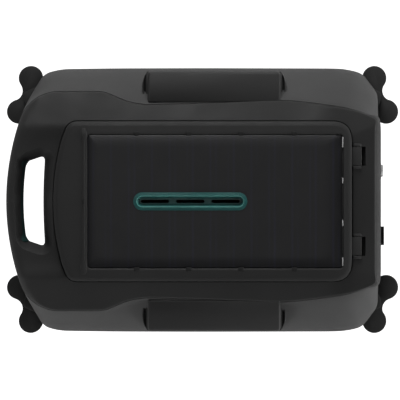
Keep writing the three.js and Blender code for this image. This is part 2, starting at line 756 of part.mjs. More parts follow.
function idlerAxle(side) {
  const pin = join([
    rodY(FRONT_WHEEL_X, WHEEL_Z, AXLE_RADIUS, 99, TRACK_OUTER_Y + 1, 12),
    rodY(FRONT_WHEEL_X, WHEEL_Z, 8, TRACK_OUTER_Y - 0.6, TRACK_OUTER_Y + 2, 12),
    rodY(FRONT_WHEEL_X, WHEEL_Z, 8, 96, HULL_HALF_WIDTH - 1 - WALL - GAP, 12),
  ]);
  return side > 0 ? pin : mirrorY(pin);
}

// The belt's centre line at a distance along it, with the direction that points outwards.
function beltPoint(distance, radius) {
  const run = REAR_WHEEL_X - FRONT_WHEEL_X;
  const turn = Math.PI * radius;
  const along = ((distance % (2 * run + 2 * turn)) + 2 * run + 2 * turn) % (2 * run + 2 * turn);
  if (along < run) {
    return { x: FRONT_WHEEL_X + along, z: WHEEL_Z - radius, angle: -Math.PI / 2 };
  }
  if (along < run + turn) {
    const angle = -Math.PI / 2 + (along - run) / radius;
    return { x: REAR_WHEEL_X + radius * Math.cos(angle), z: WHEEL_Z + radius * Math.sin(angle), angle };
  }
  if (along < 2 * run + turn) {
    return { x: REAR_WHEEL_X - (along - run - turn), z: WHEEL_Z + radius, angle: Math.PI / 2 };
  }
  const angle = Math.PI / 2 + (along - 2 * run - turn) / radius;
  return { x: FRONT_WHEEL_X + radius * Math.cos(angle), z: WHEEL_Z + radius * Math.sin(angle), angle };
}

const TREADS = 36;

function track(side) {
  const base = TRACK_OUTER_RADIUS - TREAD_HEIGHT;
  const centre = (FRONT_WHEEL_X + REAR_WHEEL_X) / 2;
  const span = REAR_WHEEL_X - FRONT_WHEEL_X;
  const ring = (radius) => stadium(centre, WHEEL_Z, span + 2 * radius, 2 * radius, 12);
  const belt = cut(sideProfile(ring(base), TRACK_INNER_Y, TRACK_OUTER_Y), [
    sideProfile(ring(base - BELT_THICKNESS), TRACK_INNER_Y - 5, TRACK_OUTER_Y + 5),
  ]);
  const length = 2 * span + 2 * Math.PI * base;
  const treads = [];
  for (let i = 0; i < TREADS; i += 1) {
    const place = beltPoint(((i + 0.5) * length) / TREADS, base);
    const height = Math.abs(Math.sin(place.angle)) === 1 ? TREAD_HEIGHT : TREAD_HEIGHT - 0.2;
    const bar = new THREE.BoxGeometry(height + 1, TRACK_OUTER_Y - TRACK_INNER_Y, 8);
    bar.translate((height - 1) / 2, (TRACK_OUTER_Y + TRACK_INNER_Y) / 2, 0);
    bar.rotateY(-place.angle);
    bar.translate(place.x, 0, place.z);
    treads.push(toSolid(bar));
  }
  const solid = join([belt, ...treads]);
  return side > 0 ? solid : mirrorY(solid);
}

// Brush roller: a core with ten soft fins and a stub at each end.
function brushRoller(x) {
  const fin = [[-0.17, BRUSH.core], [-0.045, BRUSH.radius], [0.045, BRUSH.radius], [0.17, BRUSH.core]];
  const points = [];
  for (let i = 0; i < BRUSH.fins; i += 1) {
    for (const [offset, radius] of fin) {
      const angle = (i * 2 * Math.PI) / BRUSH.fins + offset;
      points.push(new THREE.Vector2(x + radius * Math.cos(angle), BRUSH.z + radius * Math.sin(angle)));
    }
  }
  return join([
    sideProfile(points, -BRUSH.halfWidth, BRUSH.halfWidth),
    rodY(x, BRUSH.z, BRUSH.stub, -HULL_HALF_WIDTH, HULL_HALF_WIDTH, 16),
  ]);
}

// Corner pieces, made for the rear left corner and mirrored to the others

// How far the waist of a corner piece reaches outwards from the line between its rollers.
const WAIST_REACH = 3.4;
const POST = { radius: 5.5, inwards: 2.5, sideways: 0.8 };
const PLATE = { bottom: 30, floor: 34.5, ceiling: 67.5, top: 72 };
const SPINDLE = { radius: 3, bottom: 29, top: 73 };

const middleOf = (a, b) => new THREE.Vector2((a.x + b.x) / 2, (a.y + b.y) / 2);

function bonePlate(z0, z1) {
  const lobe = ROLLER_RADIUS - 1.4;
  const waist = middleOf(OUTER_ROLLER, INNER_ROLLER);
  const along = vector([INNER_ROLLER.x, INNER_ROLLER.y]).sub(OUTER_ROLLER).normalize();
  const across = new THREE.Vector2(along.y, -along.x);
  const corner = (u, v) => waist.clone().addScaledVector(along, u).addScaledVector(across, v);
  const neck = slab([
    corner(-18, -9), corner(18, -9), corner(12, WAIST_REACH), corner(-12, WAIST_REACH),
  ].reverse(), z0, z1);
  return join([
    rodZ(OUTER_ROLLER.x, OUTER_ROLLER.y, lobe, z0, z1, 14),
    rodZ(INNER_ROLLER.x, INNER_ROLLER.y, lobe, z0, z1, 14),
    neck,
  ]);
}

function cornerBracket() {
  const waist = middleOf(OUTER_ROLLER, INNER_ROLLER);
  const tab = slab([[206, 121], [180, 132], [176, 126], [186, 108], [204, 108]].map(vector),
    PLATE.ceiling + 0.5, PLATE.top + 3.5);
  const post = rodZ(waist.x - POST.inwards, waist.y - POST.sideways, POST.radius, PLATE.bottom,
    PLATE.top - 2, 10);
  const holes = [OUTER_ROLLER, INNER_ROLLER].map(({ x, y }) => (
    rodZ(x, y, SPINDLE.radius + 0.4, SPINDLE.bottom - 9, SPINDLE.top + 9, 8)));
  const plates = [bonePlate(PLATE.bottom, PLATE.floor), bonePlate(PLATE.ceiling, PLATE.top)];
  return cut(join([...plates, tab, post]), holes);
}

function guideRoller({ x, y }) {
  return turnedUpright([
    [0, SPINDLE.bottom], [SPINDLE.radius, SPINDLE.bottom], [SPINDLE.radius, ROLLER_BOTTOM],
    [ROLLER_RADIUS - 1.5, ROLLER_BOTTOM], [ROLLER_RADIUS, ROLLER_BOTTOM + 1.5],
    [ROLLER_RADIUS, ROLLER_TOP - 1.5], [ROLLER_RADIUS - 1.5, ROLLER_TOP],
    [SPINDLE.radius, ROLLER_TOP], [SPINDLE.radius, SPINDLE.top], [0, SPINDLE.top],
  ], x, y, 16);
}

function atCorner(solid, front, side) {
  const placed = front ? solid.mirror([1, 0, 0]) : solid;
  return side > 0 ? placed : mirrorY(placed);
}

// Rear face fittings

function chargePort() {
  const body = rodX(PORT.y, PORT.z, PORT.radius, PORT.inner, HULL_REAR - GAP, 24);
  const flange = rodX(PORT.y, PORT.z, PORT.flange, PORT.inner + 4, HULL_REAR - WALL - GAP, 24);
  return cut(body.add(flange), [rodX(PORT.y, PORT.z, PORT.bore, PORT.inner + 6, HULL_REAR + 6, 20)]);
}

function chargeCap() {
  const { halfWidth, halfHeight, front, back, hingeX, hingeDrop } = CAP;
  const [y0, y1] = [PORT.y - halfWidth, PORT.y + halfWidth];
  const plate = block(front, back, y0, y1, PORT.z - halfHeight, PORT.z + halfHeight);
  const barrel = rodY(hingeX, PORT.z - hingeDrop, 1.8, y0, y1, 14);
  const plug = rodX(PORT.y, PORT.z, PORT.bore - 0.5, front - 4.5, front + 1.5, 18);
  const neck = block(front + 1.1, back - 0.6, y0, y1, PORT.z - hingeDrop - 0.5, PORT.z - halfHeight + 1);
  return join([plate, barrel, neck, plug]);
}

function powerButton() {
  const stem = rodX(BUTTON.y, BUTTON.z, BUTTON.radius - 2.5, BUTTON.front, BUTTON.collar + 3, 18);
  const head = rodX(BUTTON.y, BUTTON.z, BUTTON.radius, BUTTON.collar, BUTTON.back, 24);
  return head.add(stem);
}

// Assembly

const cleaner = new THREE.Group();

function add(name, solid, colour, roughness = 0.5, metalness = 0) {
  const material = new THREE.MeshStandardMaterial({ color: colour, roughness, metalness });
  const mesh = new THREE.Mesh(toGeometry(solid), material);
  mesh.name = name;
  cleaner.add(mesh);
}

const SIDES = [['left', 1], ['right', -1]];

add('upper_shell', upperShell(), COLOURS.shell);
add('handle_liner', handleLiner(), COLOURS.teal);
add('lower_shell', lowerShell(), COLOURS.shell);
add('lid_frame', lidFrame(), COLOURS.shell);
add('lid_window', lidWindow(), COLOURS.window, 0.2);
add('outlet_nozzle', outletNozzle(), COLOURS.teal, 0.3);
add('outlet_grille', outletGrille(), COLOURS.rubber);
add('lid_latch', lidLatch(), COLOURS.shell);
add('lid_gasket', lidGasket(), COLOURS.rubber, 0.8);
add('filter_basket', filterBasket(), COLOURS.shell);
add('filter_screen', filterScreen(), COLOURS.mesh);
add('basket_grip', basketGrip(), COLOURS.teal);
add('inlet_flap_front', inletFlap(INLET.frontX, -1), COLOURS.rubber, 0.8);
add('inlet_flap_rear', inletFlap(INLET.rearX, 1), COLOURS.rubber, 0.8);
add('motor_housing', motorHousing(), COLOURS.shell);
add('motor_housing_cap', motorHousingCap(), COLOURS.shell);
add('pump_motor', pumpMotor(), COLOURS.steel, 0.4, 0.9);
add('impeller', impeller(), COLOURS.teal);
add('impeller_duct', impellerDuct(), COLOURS.shell);
add('battery_pack', batteryPack(), COLOURS.cell);
add('control_board', controlBoard(), COLOURS.board);
add('brush_roller_front', brushRoller(BRUSH.frontX), COLOURS.teal, 0.7);
add('brush_roller_rear', brushRoller(BRUSH.rearX), COLOURS.teal, 0.7);
add('charge_port', chargePort(), COLOURS.rubber);
add('charge_cap', chargeCap(), COLOURS.rubber, 0.8);
add('power_button', powerButton(), COLOURS.side);

for (const [label, side] of SIDES) {
  const onSide = (solid) => (side > 0 ? solid : mirrorY(solid));
  add(`side_cover_${label}`, onSide(sideCover()), COLOURS.side);
  add(`side_pod_${label}`, onSide(sidePod()), COLOURS.pod);
  add(`lid_hinge_pin_${label}`, hingePin(side), COLOURS.steel, 0.3, 1);
  add(`drive_motor_${label}`, driveMotor(side), COLOURS.steel, 0.4, 0.9);
  add(`drive_wheel_${label}`, placedWheel(REAR_WHEEL_X, side, 0, 100.2), COLOURS.shell);
  add(`idler_wheel_${label}`, placedWheel(FRONT_WHEEL_X, side, AXLE_RADIUS + GAP, 0), COLOURS.shell);
  add(`idler_axle_${label}`, idlerAxle(side), COLOURS.steel, 0.3, 1);
  add(`track_${label}`, track(side), COLOURS.rubber, 0.9);
  for (const [end, front] of [['front', true], ['rear', false]]) {
    add(`corner_bracket_${end}_${label}`, atCorner(cornerBracket(), front, side), COLOURS.pod);
    add(`guide_roller_${end}_${label}_outer`, atCorner(guideRoller(OUTER_ROLLER), front, side),
      COLOURS.rubber, 0.8);
    add(`guide_roller_${end}_${label}_inner`, atCorner(guideRoller(INNER_ROLLER), front, side),
      COLOURS.rubber, 0.8);
  }
}

export default cleaner;
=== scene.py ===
"""Looks of the pool cleaner: fine shells, rubber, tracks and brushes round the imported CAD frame."""

import math

import bmesh
import bpy
import numpy as np
from mathutils import Euler, Matrix, Vector


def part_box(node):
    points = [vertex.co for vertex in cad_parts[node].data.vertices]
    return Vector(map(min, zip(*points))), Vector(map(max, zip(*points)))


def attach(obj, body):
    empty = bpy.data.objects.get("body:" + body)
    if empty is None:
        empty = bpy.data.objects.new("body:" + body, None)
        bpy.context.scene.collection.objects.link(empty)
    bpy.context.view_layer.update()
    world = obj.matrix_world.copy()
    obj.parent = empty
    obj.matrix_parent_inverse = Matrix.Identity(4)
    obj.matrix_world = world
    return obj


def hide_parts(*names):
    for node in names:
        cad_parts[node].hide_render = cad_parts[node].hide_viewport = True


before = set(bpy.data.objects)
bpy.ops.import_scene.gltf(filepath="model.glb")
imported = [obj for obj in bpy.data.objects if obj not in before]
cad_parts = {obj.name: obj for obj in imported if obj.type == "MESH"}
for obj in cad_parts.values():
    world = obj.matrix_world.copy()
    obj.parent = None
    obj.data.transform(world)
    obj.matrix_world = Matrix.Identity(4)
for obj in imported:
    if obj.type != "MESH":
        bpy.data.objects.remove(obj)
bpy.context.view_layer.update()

MM = 0.001
TAU = 2 * math.pi
WELD_DISTANCE = 0.00001


def node_box(name):
    """Lowest and highest corner of a CAD node, in millimetres."""
    low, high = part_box(name)
    return [v / MM for v in low], [v / MM for v in high]


# ---------------- driving sizes, from the frame, mm

LID_LOW, LID_HIGH = node_box("lid_frame")
WINDOW_LOW, WINDOW_HIGH = node_box("lid_window")
NOZZLE_LOW, NOZZLE_HIGH = node_box("outlet_nozzle")
POD_LOW, POD_HIGH = node_box("side_pod_left")
CAP_LOW, CAP_HIGH = node_box("charge_cap")

HANDLE_END, _, SPLIT_Z = node_box("upper_shell")[0]
COVER_TOP = node_box("side_cover_left")[1][2]
DECK_Z = COVER_TOP + 1
LID_HALF = LID_HIGH[1]
LID_REAR = 171.6
OUTLET_X = (NOZZLE_LOW[0] + NOZZLE_HIGH[0]) / 2
OUTLET_SIZE = (NOZZLE_HIGH[0] - NOZZLE_LOW[0], NOZZLE_HIGH[1] - NOZZLE_LOW[1])
REAR_FACE = 204.6
PORT_Y = (CAP_LOW[1] + CAP_HIGH[1]) / 2
BUTTON_Y = 34
FITTING_Z = 132
SIDES = {"left": 1, "right": -1}
ENDS = {"front": -1, "rear": 1}


# ---------------- outlines, seen from above, mm

def bezier(a, b, c, steps):
    """A quadratic curve from a to c, pulled towards b."""
    t = np.linspace(0, 1, steps + 1)[:, None]
    return (1 - t) ** 2 * a + 2 * t * (1 - t) * b + t ** 2 * c


def rounded(corners, steps=6):
    """Corners (x, y, cut): each is rounded from cut before it to cut after it."""
    points = []
    for i, corner in enumerate(corners):
        here = np.array(corner[:2], float)
        cut = corner[2] if len(corner) > 2 else 0
        if not cut:
            points.append(here[None])
            continue
        before = np.array(corners[i - 1][:2], float) - here
        after = np.array(corners[(i + 1) % len(corners)][:2], float) - here
        start = here + before / np.linalg.norm(before) * cut
        end = here + after / np.linalg.norm(after) * cut
        points.append(bezier(start, here, end, steps))
    return np.vstack(points)


def mirrored(half):
    """The half at positive Y, rear to front, and its mirror image."""
    other = [(c[0], -c[1], *c[2:]) for c in reversed(half) if c[1] > 0]
    return list(half) + other


def bow(apex, depth, half_span, steps):
    """The left half of a shallow arc that bulges towards -X."""
    ys = [half_span * (1 - i / steps) for i in range(steps + 1)]
    return [(apex + depth * (y / half_span) ** 2, y) for y in ys]


def stadium(x, y, length, width, steps=24):
    """A slot outline: two half circles joined by straight sides."""
    radius = width / 2
    points = []
    for side in (1, -1):
        centre = x + side * (length / 2 - radius)
        for i in range(steps + 1):
            angle = -math.pi / 2 + math.pi * i / steps
            points.append((centre + side * radius * math.cos(angle),
                           y + side * radius * math.sin(angle)))
    return np.array(points)


SHELF_EDGE = [
    (132, 111.5, 16), (96, 115.4, 14), (0, 112, 40), (-66, 110, 10), (-86, 114, 7),
    (-112, 125.2, 7), (-172, 125.2, 8), (-190, 118, 8), (-203, 105, 7), (-209.5, 90, 5),
    *bow(HANDLE_END, 11.4, 80, 12),
]
DECK = rounded(mirrored([
    (198.4, 84, 5), (200.5, 94, 5), (186, 100.5, 12), (165, 106.5, 10), *SHELF_EDGE,
]))
DECK_FOOT = rounded(mirrored([
    (205, 84, 6), (203.6, 97, 6), (186, 102, 12), (165, 106.5, 10), *SHELF_EDGE,
]))
BODY = rounded(mirrored([(204, 104.5, 14), (-176, 104.5, 14)]))
LID = rounded(mirrored([
    (LID_REAR, LID_HALF, 23), (-152, LID_HALF, 10), *bow(LID_LOW[0], 10.1, 72, 10),
]), 10)
WINDOW = rounded(mirrored([
    (WINDOW_HIGH[0], WINDOW_HIGH[1], 4), (WINDOW_LOW[0], WINDOW_HIGH[1], 4),
]))
HULL = rounded(mirrored([
    (REAR_FACE, 82, 4), (202, 92, 5), (201.2, 122, 7), (183.6, 145.4, 7), (166, 150, 10),
    (149, 150.7, 8), (0, 151.1, 40), (-100, 150.8, 20), (-166, 149.9, 12), (-182, 144.4, 7),
    (-197.5, 118.5, 9), (-204.5, 105, 6), (-211, 84, 4), (-214, 40, 4),
]))
GRIP = rounded([
    *[(-181.4 + 1.6 * (y / 46) ** 2, y) for y in np.linspace(-44, 44, 9)],
    (-179.8, 52, 6), (-203, 44, 7),
    *[(-204.4 + 2.2 * (y / 36) ** 2, y) for y in np.linspace(36, -36, 9)],
    (-203, -44, 7), (-179.8, -52, 6),
], 8)


# ---------------- rings of matched points

def rays(x0, x1, step_x, step_degrees):
    """Rays from a spine along X: straight across it, and fanned round its two ends."""
    fan = int(180 / step_degrees)
    run = max(1, int((x1 - x0) / step_x))
    origins, directions = [], []
    for start, end, first, across in ((x1, x0, -90, 1), (x0, x1, 90, -1)):
        for i in range(fan):
            angle = math.radians(first + 180 * i / fan)
            origins.append((start, 0))
            directions.append((math.cos(angle), math.sin(angle)))
        for i in range(run):
            origins.append((start + (end - start) * i / run, 0))
            directions.append((0, across))
    return np.array(origins, float), np.array(directions, float)


def cross(a, b):
    return a[..., 0] * b[..., 1] - a[..., 1] * b[..., 0]


def on_rays(outline, spine):
    """Where each ray leaves an outline."""
    origin, direction = spine
    way = direction[:, None]
    edge = np.roll(outline, -1, axis=0) - outline
    offset = outline - origin[:, None]
    turn = cross(way, edge)
    turn = np.where(np.abs(turn) < 1e-12, 1e-12, turn)
    along = cross(offset, edge) / turn
    share = cross(offset, way) / turn
    hit = (share >= -1e-6) & (share <= 1 + 1e-6) & (along > 0)
    reach = np.where(hit, along, -1).max(axis=1)
    return origin + direction * reach[:, None]


def unit(vectors):
    return vectors / np.maximum(np.linalg.norm(vectors, axis=1), 1e-9)[:, None]


def inset(ring, distance):
    """A ring moved inwards, square to itself."""
    along = unit(ring - np.roll(ring, 1, axis=0)) + unit(np.roll(ring, -1, axis=0) - ring)
    normal = unit(np.stack([-along[:, 1], along[:, 0]], axis=1))
    return ring + normal * np.reshape(distance, (-1, 1))


def raised(ring, z):
    """A flat ring at one height, or at one height for each point."""
    return np.column_stack([ring, np.broadcast_to(z, len(ring))])


def contour(ring, steps):
    """One ring repeated at pairs of inset distance and height."""
    return [raised(inset(ring, distance), z) for distance, z in steps]


def ease(t):
    """Smooth step from 0 to 1."""
    t = np.clip(t, 0, 1)
    return t * t * (3 - 2 * t)


# ---------------- meshes

def place(name, mesh):
    """An object for a mesh, in the scene."""
    piece = bpy.data.objects.new(name, mesh)
    bpy.context.scene.collection.objects.link(piece)
    return piece


def make(name, vertices, faces, smooth_angle=40):
    """A mesh object from millimetres, smooth below an angle."""
    mesh = bpy.data.meshes.new(name)
    mesh.from_pydata([tuple(v) for v in np.asarray(vertices) * MM], [], [list(f) for f in faces])
    mesh.validate()
    weld(mesh)
    piece = place(name, mesh)
    smooth(piece, smooth_angle)
    return piece


def weld(mesh):
    """Joins points that lie together and turns all faces outwards."""
    work = bmesh.new()
    work.from_mesh(mesh)
    bmesh.ops.remove_doubles(work, verts=work.verts, dist=WELD_DISTANCE)
    bmesh.ops.recalc_face_normals(work, faces=work.faces)
    work.to_mesh(mesh)
    work.free()


def smooth(piece, angle=40):
    """Shades a piece smooth, but for edges sharper than an angle."""
    for polygon in piece.data.polygons:
        polygon.use_smooth = True
    piece.data.set_sharp_from_angle(angle=math.radians(angle))


def grid_faces(rows, count, closed, round_rows=True):
    """Faces between rows of count points; closed joins the last row to the first."""
    faces = []
    for r in range(rows if closed else rows - 1):
        low, high = r * count, ((r + 1) % rows) * count
        for i in range(count if round_rows else count - 1):
            j = (i + 1) % count
            faces.append((low + i, low + j, high + j, high + i))
    return faces


def loop_solid(name, rings, smooth_angle=40):
    """A closed ring of section: the rings run round the section and back to the first."""
    faces = grid_faces(len(rings), len(rings[0]), True)
    return make(name, np.vstack(rings), faces, smooth_angle)


def stack_solid(name, rings, smooth_angle=40):
    """Rings stacked from the bottom to the top, closed by a flat face at each end."""
    count = len(rings[0])
    faces = grid_faces(len(rings), count, False)
    faces.append(tuple(range(count))[::-1])
    faces.append(tuple(range((len(rings) - 1) * count, len(rings) * count)))
    return make(name, np.vstack(rings), faces, smooth_angle)


def bar_solid(name, rows):
    """Rows along a bar, which go round its section, closed by a flat face at each end."""
    count, length = len(rows), len(rows[0])
    faces = grid_faces(count, length, True, False)
    ends = [tuple(r * length + i for r in range(count)) for i in (0, length - 1)]
    return make(name, np.vstack(rows), [*faces, ends[0], ends[1][::-1]])


def plate(name, outline, z0, z1, edge=0.6, smooth_angle=40):
    """A flat outline with rounded rims."""
    levels = [(edge, z0), (edge * 0.3, z0 + edge * 0.3), (0, z0 + edge),
              (0, z1 - edge), (edge * 0.3, z1 - edge * 0.3), (edge, z1)]
    return stack_solid(name, contour(outline, levels), smooth_angle)


def lathe(name, profile, axis, centre, steps=48, smooth_angle=35):
    """Pairs of radius and distance along an axis, closed on the axis or on themselves."""
    vertices, count = [], len(profile)
    for i in range(steps):
        angle = TAU * i / steps
        for radius, along in profile:
            u, v = radius * math.cos(angle), radius * math.sin(angle)
            point = {"x": (along, u, v), "y": (u, along, v), "z": (u, v, along)}[axis]
            vertices.append([p + c for p, c in zip(point, centre)])
    faces = []
    for i in range(steps):
        a, b = i * count, ((i + 1) % steps) * count
        for k in range(count):
            m = (k + 1) % count
            if profile[k][0] == 0 and profile[m][0] == 0:
                continue
            faces.append((a + k, b + k, b + m, a + m))
    return make(name, vertices, faces, smooth_angle)


def block(name, low, high, bevel=0.6, segments=3):
    """A box with rounded edges."""
    corners = [(x, y, z) for x in (low[0], high[0]) for y in (low[1], high[1])
               for z in (low[2], high[2])]
    faces = [(0, 1, 3, 2), (4, 6, 7, 5), (0, 4, 5, 1), (2, 3, 7, 6), (0, 2, 6, 4), (1, 5, 7, 3)]
    piece = make(name, corners, faces)
    round_edges(piece, bevel, segments)
    return piece


def both_sides(name, low, high, bevel=0.6, segments=3):
    """A block given as on the left side, and its twin on the right."""
    return [block(name, (low[0], y0, low[2]), (high[0], y1, high[2]), bevel, segments)
            for y0, y1 in ((low[1], high[1]), (-high[1], -low[1]))]


def cylinder(radius, start, end):
    """The profile of a plain cylinder, for a lathe."""
    return [(0, start), (radius, start), (radius, end), (0, end)]


def edge_modifier(piece, width, segments=2, angle=30):
    """Rounds edges sharper than an angle, without a change to the mesh."""
    modifier = piece.modifiers.new("soft_edges", "BEVEL")
    modifier.width = width * MM
    modifier.segments = segments
    modifier.limit_method = "ANGLE"
    modifier.angle_limit = math.radians(angle)


def round_edges(piece, width, segments=2, angle=30):
    edge_modifier(piece, width, segments, angle)
    settle(piece)


def settle(piece):
    """Applies a piece's modifiers to its mesh."""
    bpy.context.view_layer.update()
    graph = bpy.context.evaluated_depsgraph_get()
    mesh = bpy.data.meshes.new_from_object(piece.evaluated_get(graph))
    piece.modifiers.clear()
    piece.data = mesh
    smooth(piece)


def cut_out(piece, cutters, smooth_angle=32):
    """Takes the cutters out of a piece."""
    for cutter in cutters:
        modifier = piece.modifiers.new("cut", "BOOLEAN")
        modifier.operation = "DIFFERENCE"
        modifier.solver = "EXACT"
        modifier.object = cutter
    settle(piece)
    for cutter in cutters:
        bpy.data.objects.remove(cutter, do_unlink=True)
    smooth(piece, smooth_angle)
    return piece


def merge(name, pieces):
    """Several meshes as one piece."""
    work = bmesh.new()
    for piece in pieces:
        mesh = piece.data
        mesh.transform(piece.matrix_world)
        work.from_mesh(mesh)
        bpy.data.objects.remove(piece, do_unlink=True)
    mesh = bpy.data.meshes.new(name)
    work.to_mesh(mesh)
    work.free()
    whole = place(name, mesh)
    smooth(whole, 35)
    return whole


def mirror_copy(piece, name, x=1, y=1):
    """The same piece on another side or end."""
    mesh = piece.data.copy()
    mesh.transform(Matrix.Diagonal((x, y, 1, 1)))
    if x * y < 0:
        mesh.flip_normals()
    return place(name, mesh)


def on_side(piece, side):
    """A piece made on the left: itself there, or its mirror image under the same name."""
    if side > 0:
        return piece
    name = piece.name
    piece.name = name + "_old"
    twin = mirror_copy(piece, name, y=-1)
    bpy.data.objects.remove(piece, do_unlink=True)
    smooth(twin)
    return twin


def dress(piece, look, body, *nodes, slot=None):
    """Gives a piece its material, its body and the CAD nodes that it stands for."""
    slot = slot or look
    piece.data.materials.clear()
    piece.data.materials.append(MATERIAL[look])
    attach(piece, body)
    if nodes:
        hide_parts(*nodes)


# ---------------- materials

def colour(code):
    """Linear colour from a grey level or an RGB triple of 0 to 255."""
    triple = (code, code, code) if isinstance(code, (int, float)) else code
    linear = [v / 255 / 12.92 if v <= 10 else ((v / 255 + 0.055) / 1.055) ** 2.4 for v in triple]
    return (*linear, 1)


def shade(base, gain, lift=0):
    """A lighter or darker tone of a colour."""
    return tuple(min(1, c * gain + lift) for c in base[:3]) + (1,)


class Graph:
    """The node tree of a material or world, with short calls for the nodes used here."""

    def __init__(self, owner, shader="Principled BSDF", space="Object"):
        owner.use_nodes = True
        self.owner = owner
        self.tree = owner.node_tree
        self.shader = self.tree.nodes[shader]
        self.place = self.add("TexCoord", space)

    def feed(self, socket, value):
        """Links a socket to an output, or sets it to a number or colour."""
        if isinstance(value, bpy.types.NodeSocket):
            self.tree.links.new(value, socket)
        else:
            socket.default_value = value

    def feed_all(self, node, sockets):
        """Feeds sockets by name, with an underscore for each space."""
        for name, value in sockets.items():
            self.feed(node.inputs[name.replace("_", " ")], value)

    def add(self, kind, output, settings=(), **sockets):
        """A node with its settings and sockets: gives one of its outputs."""
        node = self.tree.nodes.new("ShaderNode" + kind)
        for name, value in settings:
            setattr(node, name, value)
        self.feed_all(node, sockets)
        return node.outputs[output]

    def finish(self, **sockets):
        """Feeds the shader's own sockets and gives the material or world."""
        self.feed_all(self.shader, sockets)
        return self.owner

    def noise(self, scale, detail=3, rough=0.55, stretch=None):
        vector = self.place
        if stretch:
            vector = self.add("Mapping", "Vector", Vector=vector, Scale=stretch)
        return self.add("TexNoise", "Fac", Vector=vector,
                        Scale=scale, Detail=detail, Roughness=rough)

    def wave(self, scale, axis, distortion=0):
        return self.add("TexWave", "Fac", [("bands_direction", axis)],
                        Vector=self.place, Scale=scale, Distortion=distortion)

    def cells(self, scale, feature="F1"):
        return self.add("TexVoronoi", "Distance", [("feature", feature)],
                        Vector=self.place, Scale=scale)

    def spread(self, value, low, high, start=0, end=1):
        """Takes start to end onto low to high."""
        return self.add("MapRange", "Result", Value=value,
                        From_Min=start, From_Max=end, To_Min=low, To_Max=high)

    def calculate(self, operation, first, second):
        result = self.add("Math", "Value", [("operation", operation)])
        self.feed(result.node.inputs[0], first)
        self.feed(result.node.inputs[1], second)
        return result

    def blend(self, share, first, second):
        node = self.tree.nodes.new("ShaderNodeMix")
        node.data_type = "RGBA"
        self.feed(node.inputs[0], share)
        for socket, value in zip([s for s in node.inputs if s.type == "RGBA"], (first, second)):
            self.feed(socket, value)
        return [s for s in node.outputs if s.type == "RGBA"][0]

    def bump(self, height, strength, distance, under=None):
        normal = self.add("Bump", "Normal", Height=height, Strength=strength, Distance=distance)
        if under:
            self.feed(normal.node.inputs["Normal"], under)
        return normal

    def edges(self, most, reach=0.03):
        """Rises from 0 to most on worn convex edges."""
        sharpness = self.add("NewGeometry", "Pointiness")
        return self.spread(sharpness, 0, most, 0.5 + reach * 0.3, 0.5 + reach * 1.6)


def new_graph(name):
    """A new material's graph."""
    return Graph(bpy.data.materials.new(name))


def moulded(name, tone, roughness=0.48, grain=2200, relief=0.12, wear=12, specular=0.35):
    """Moulded plastic: fine spark-eroded grain, faint clouding, edges polished by handling."""
    graph = new_graph(name)
    base = colour(tone)
    cloud = graph.spread(graph.noise(9, 4), 0, 1, 0.3, 0.7)
    speckle = graph.spread(graph.noise(grain, 2), 0, 0.35, 0.35, 0.65)
    flow = graph.blend(cloud, base, shade(base, 1.16, 0.001))
    grained = graph.blend(speckle, flow, shade(base, 0.82))
    smudge = graph.noise(26, 5, 0.6)
    coarse = graph.bump(graph.noise(grain, 2), relief, 0.00012)
    return graph.finish(
        Base_Color=graph.blend(graph.edges(0.6), grained, shade(base, 1, wear / 1000)),
        Roughness=graph.spread(smudge, roughness - 0.07, roughness + 0.08, 0.3, 0.7),
        Normal=graph.bump(graph.noise(60, 2), 0.03, 0.0006, coarse),
        Specular_IOR_Level=specular,
    )


def smoked_window():
    """Smoked plastic with faint bands of the filter behind it."""
    graph = new_graph("smoked_window")
    pleats = graph.wave(13.5, "X", 1.2)
    fine = graph.spread(graph.wave(47, "X", 0.6), 0, 1, 0.5, 1)
    share = graph.calculate("MULTIPLY", graph.spread(pleats, 0, 1, 0.35, 0.9), fine)
    tint = graph.blend(share, colour((27, 27, 28)), colour((30, 30, 38)))
    cloud = graph.spread(graph.noise(14, 3), 0, 0.35, 0.35, 0.7)
    return graph.finish(
        Base_Color=graph.blend(cloud, tint, colour((23, 23, 25))),
        Roughness=graph.spread(graph.noise(40, 4), 0.3, 0.4, 0.3, 0.7),
        Normal=graph.bump(pleats, 0.05, 0.0004),
        Specular_IOR_Level=0.32, Coat_Weight=0.1, Coat_Roughness=0.2,
    )


def teal_gloss(name="teal_gloss", tone=(24, 73, 71), roughness=0.58):
    """Coloured plastic with a thin clear coat."""
    graph = new_graph(name)
    base = colour(tone)
    cloud = graph.spread(graph.noise(30, 3), 0, 0.7, 0.3, 0.75)
    return graph.finish(
        Base_Color=graph.blend(cloud, base, shade(base, 0.62)),
        Roughness=graph.spread(graph.noise(70, 4), roughness - 0.05, roughness + 0.09, 0.3, 0.7),
        Normal=graph.bump(graph.noise(1500, 2), 0.05, 0.0001),
        Coat_Weight=0.12, Coat_Roughness=0.35,
    )


def rubber(name, tone, roughness=0.72, grain=1300, relief=0.25):
    """Matt rubber, dusty in patches and on its edges."""
    graph = new_graph(name)
    base = colour(tone)
    dusty = shade(base, 1.5, 0.004)
    dust = graph.spread(graph.noise(45, 6, 0.65), 0, 0.55, 0.45, 0.8)
    skin = graph.bump(graph.noise(grain, 3), relief, 0.00018)
    return graph.finish(
        Base_Color=graph.blend(graph.edges(1, 0.05), graph.blend(dust, base, dusty), dusty),
        Roughness=graph.spread(graph.noise(80, 4), roughness - 0.1, roughness + 0.12, 0.3, 0.7),
        Normal=graph.bump(graph.cells(900), 0.08, 0.0001, skin),
        Specular_IOR_Level=0.3,
    )


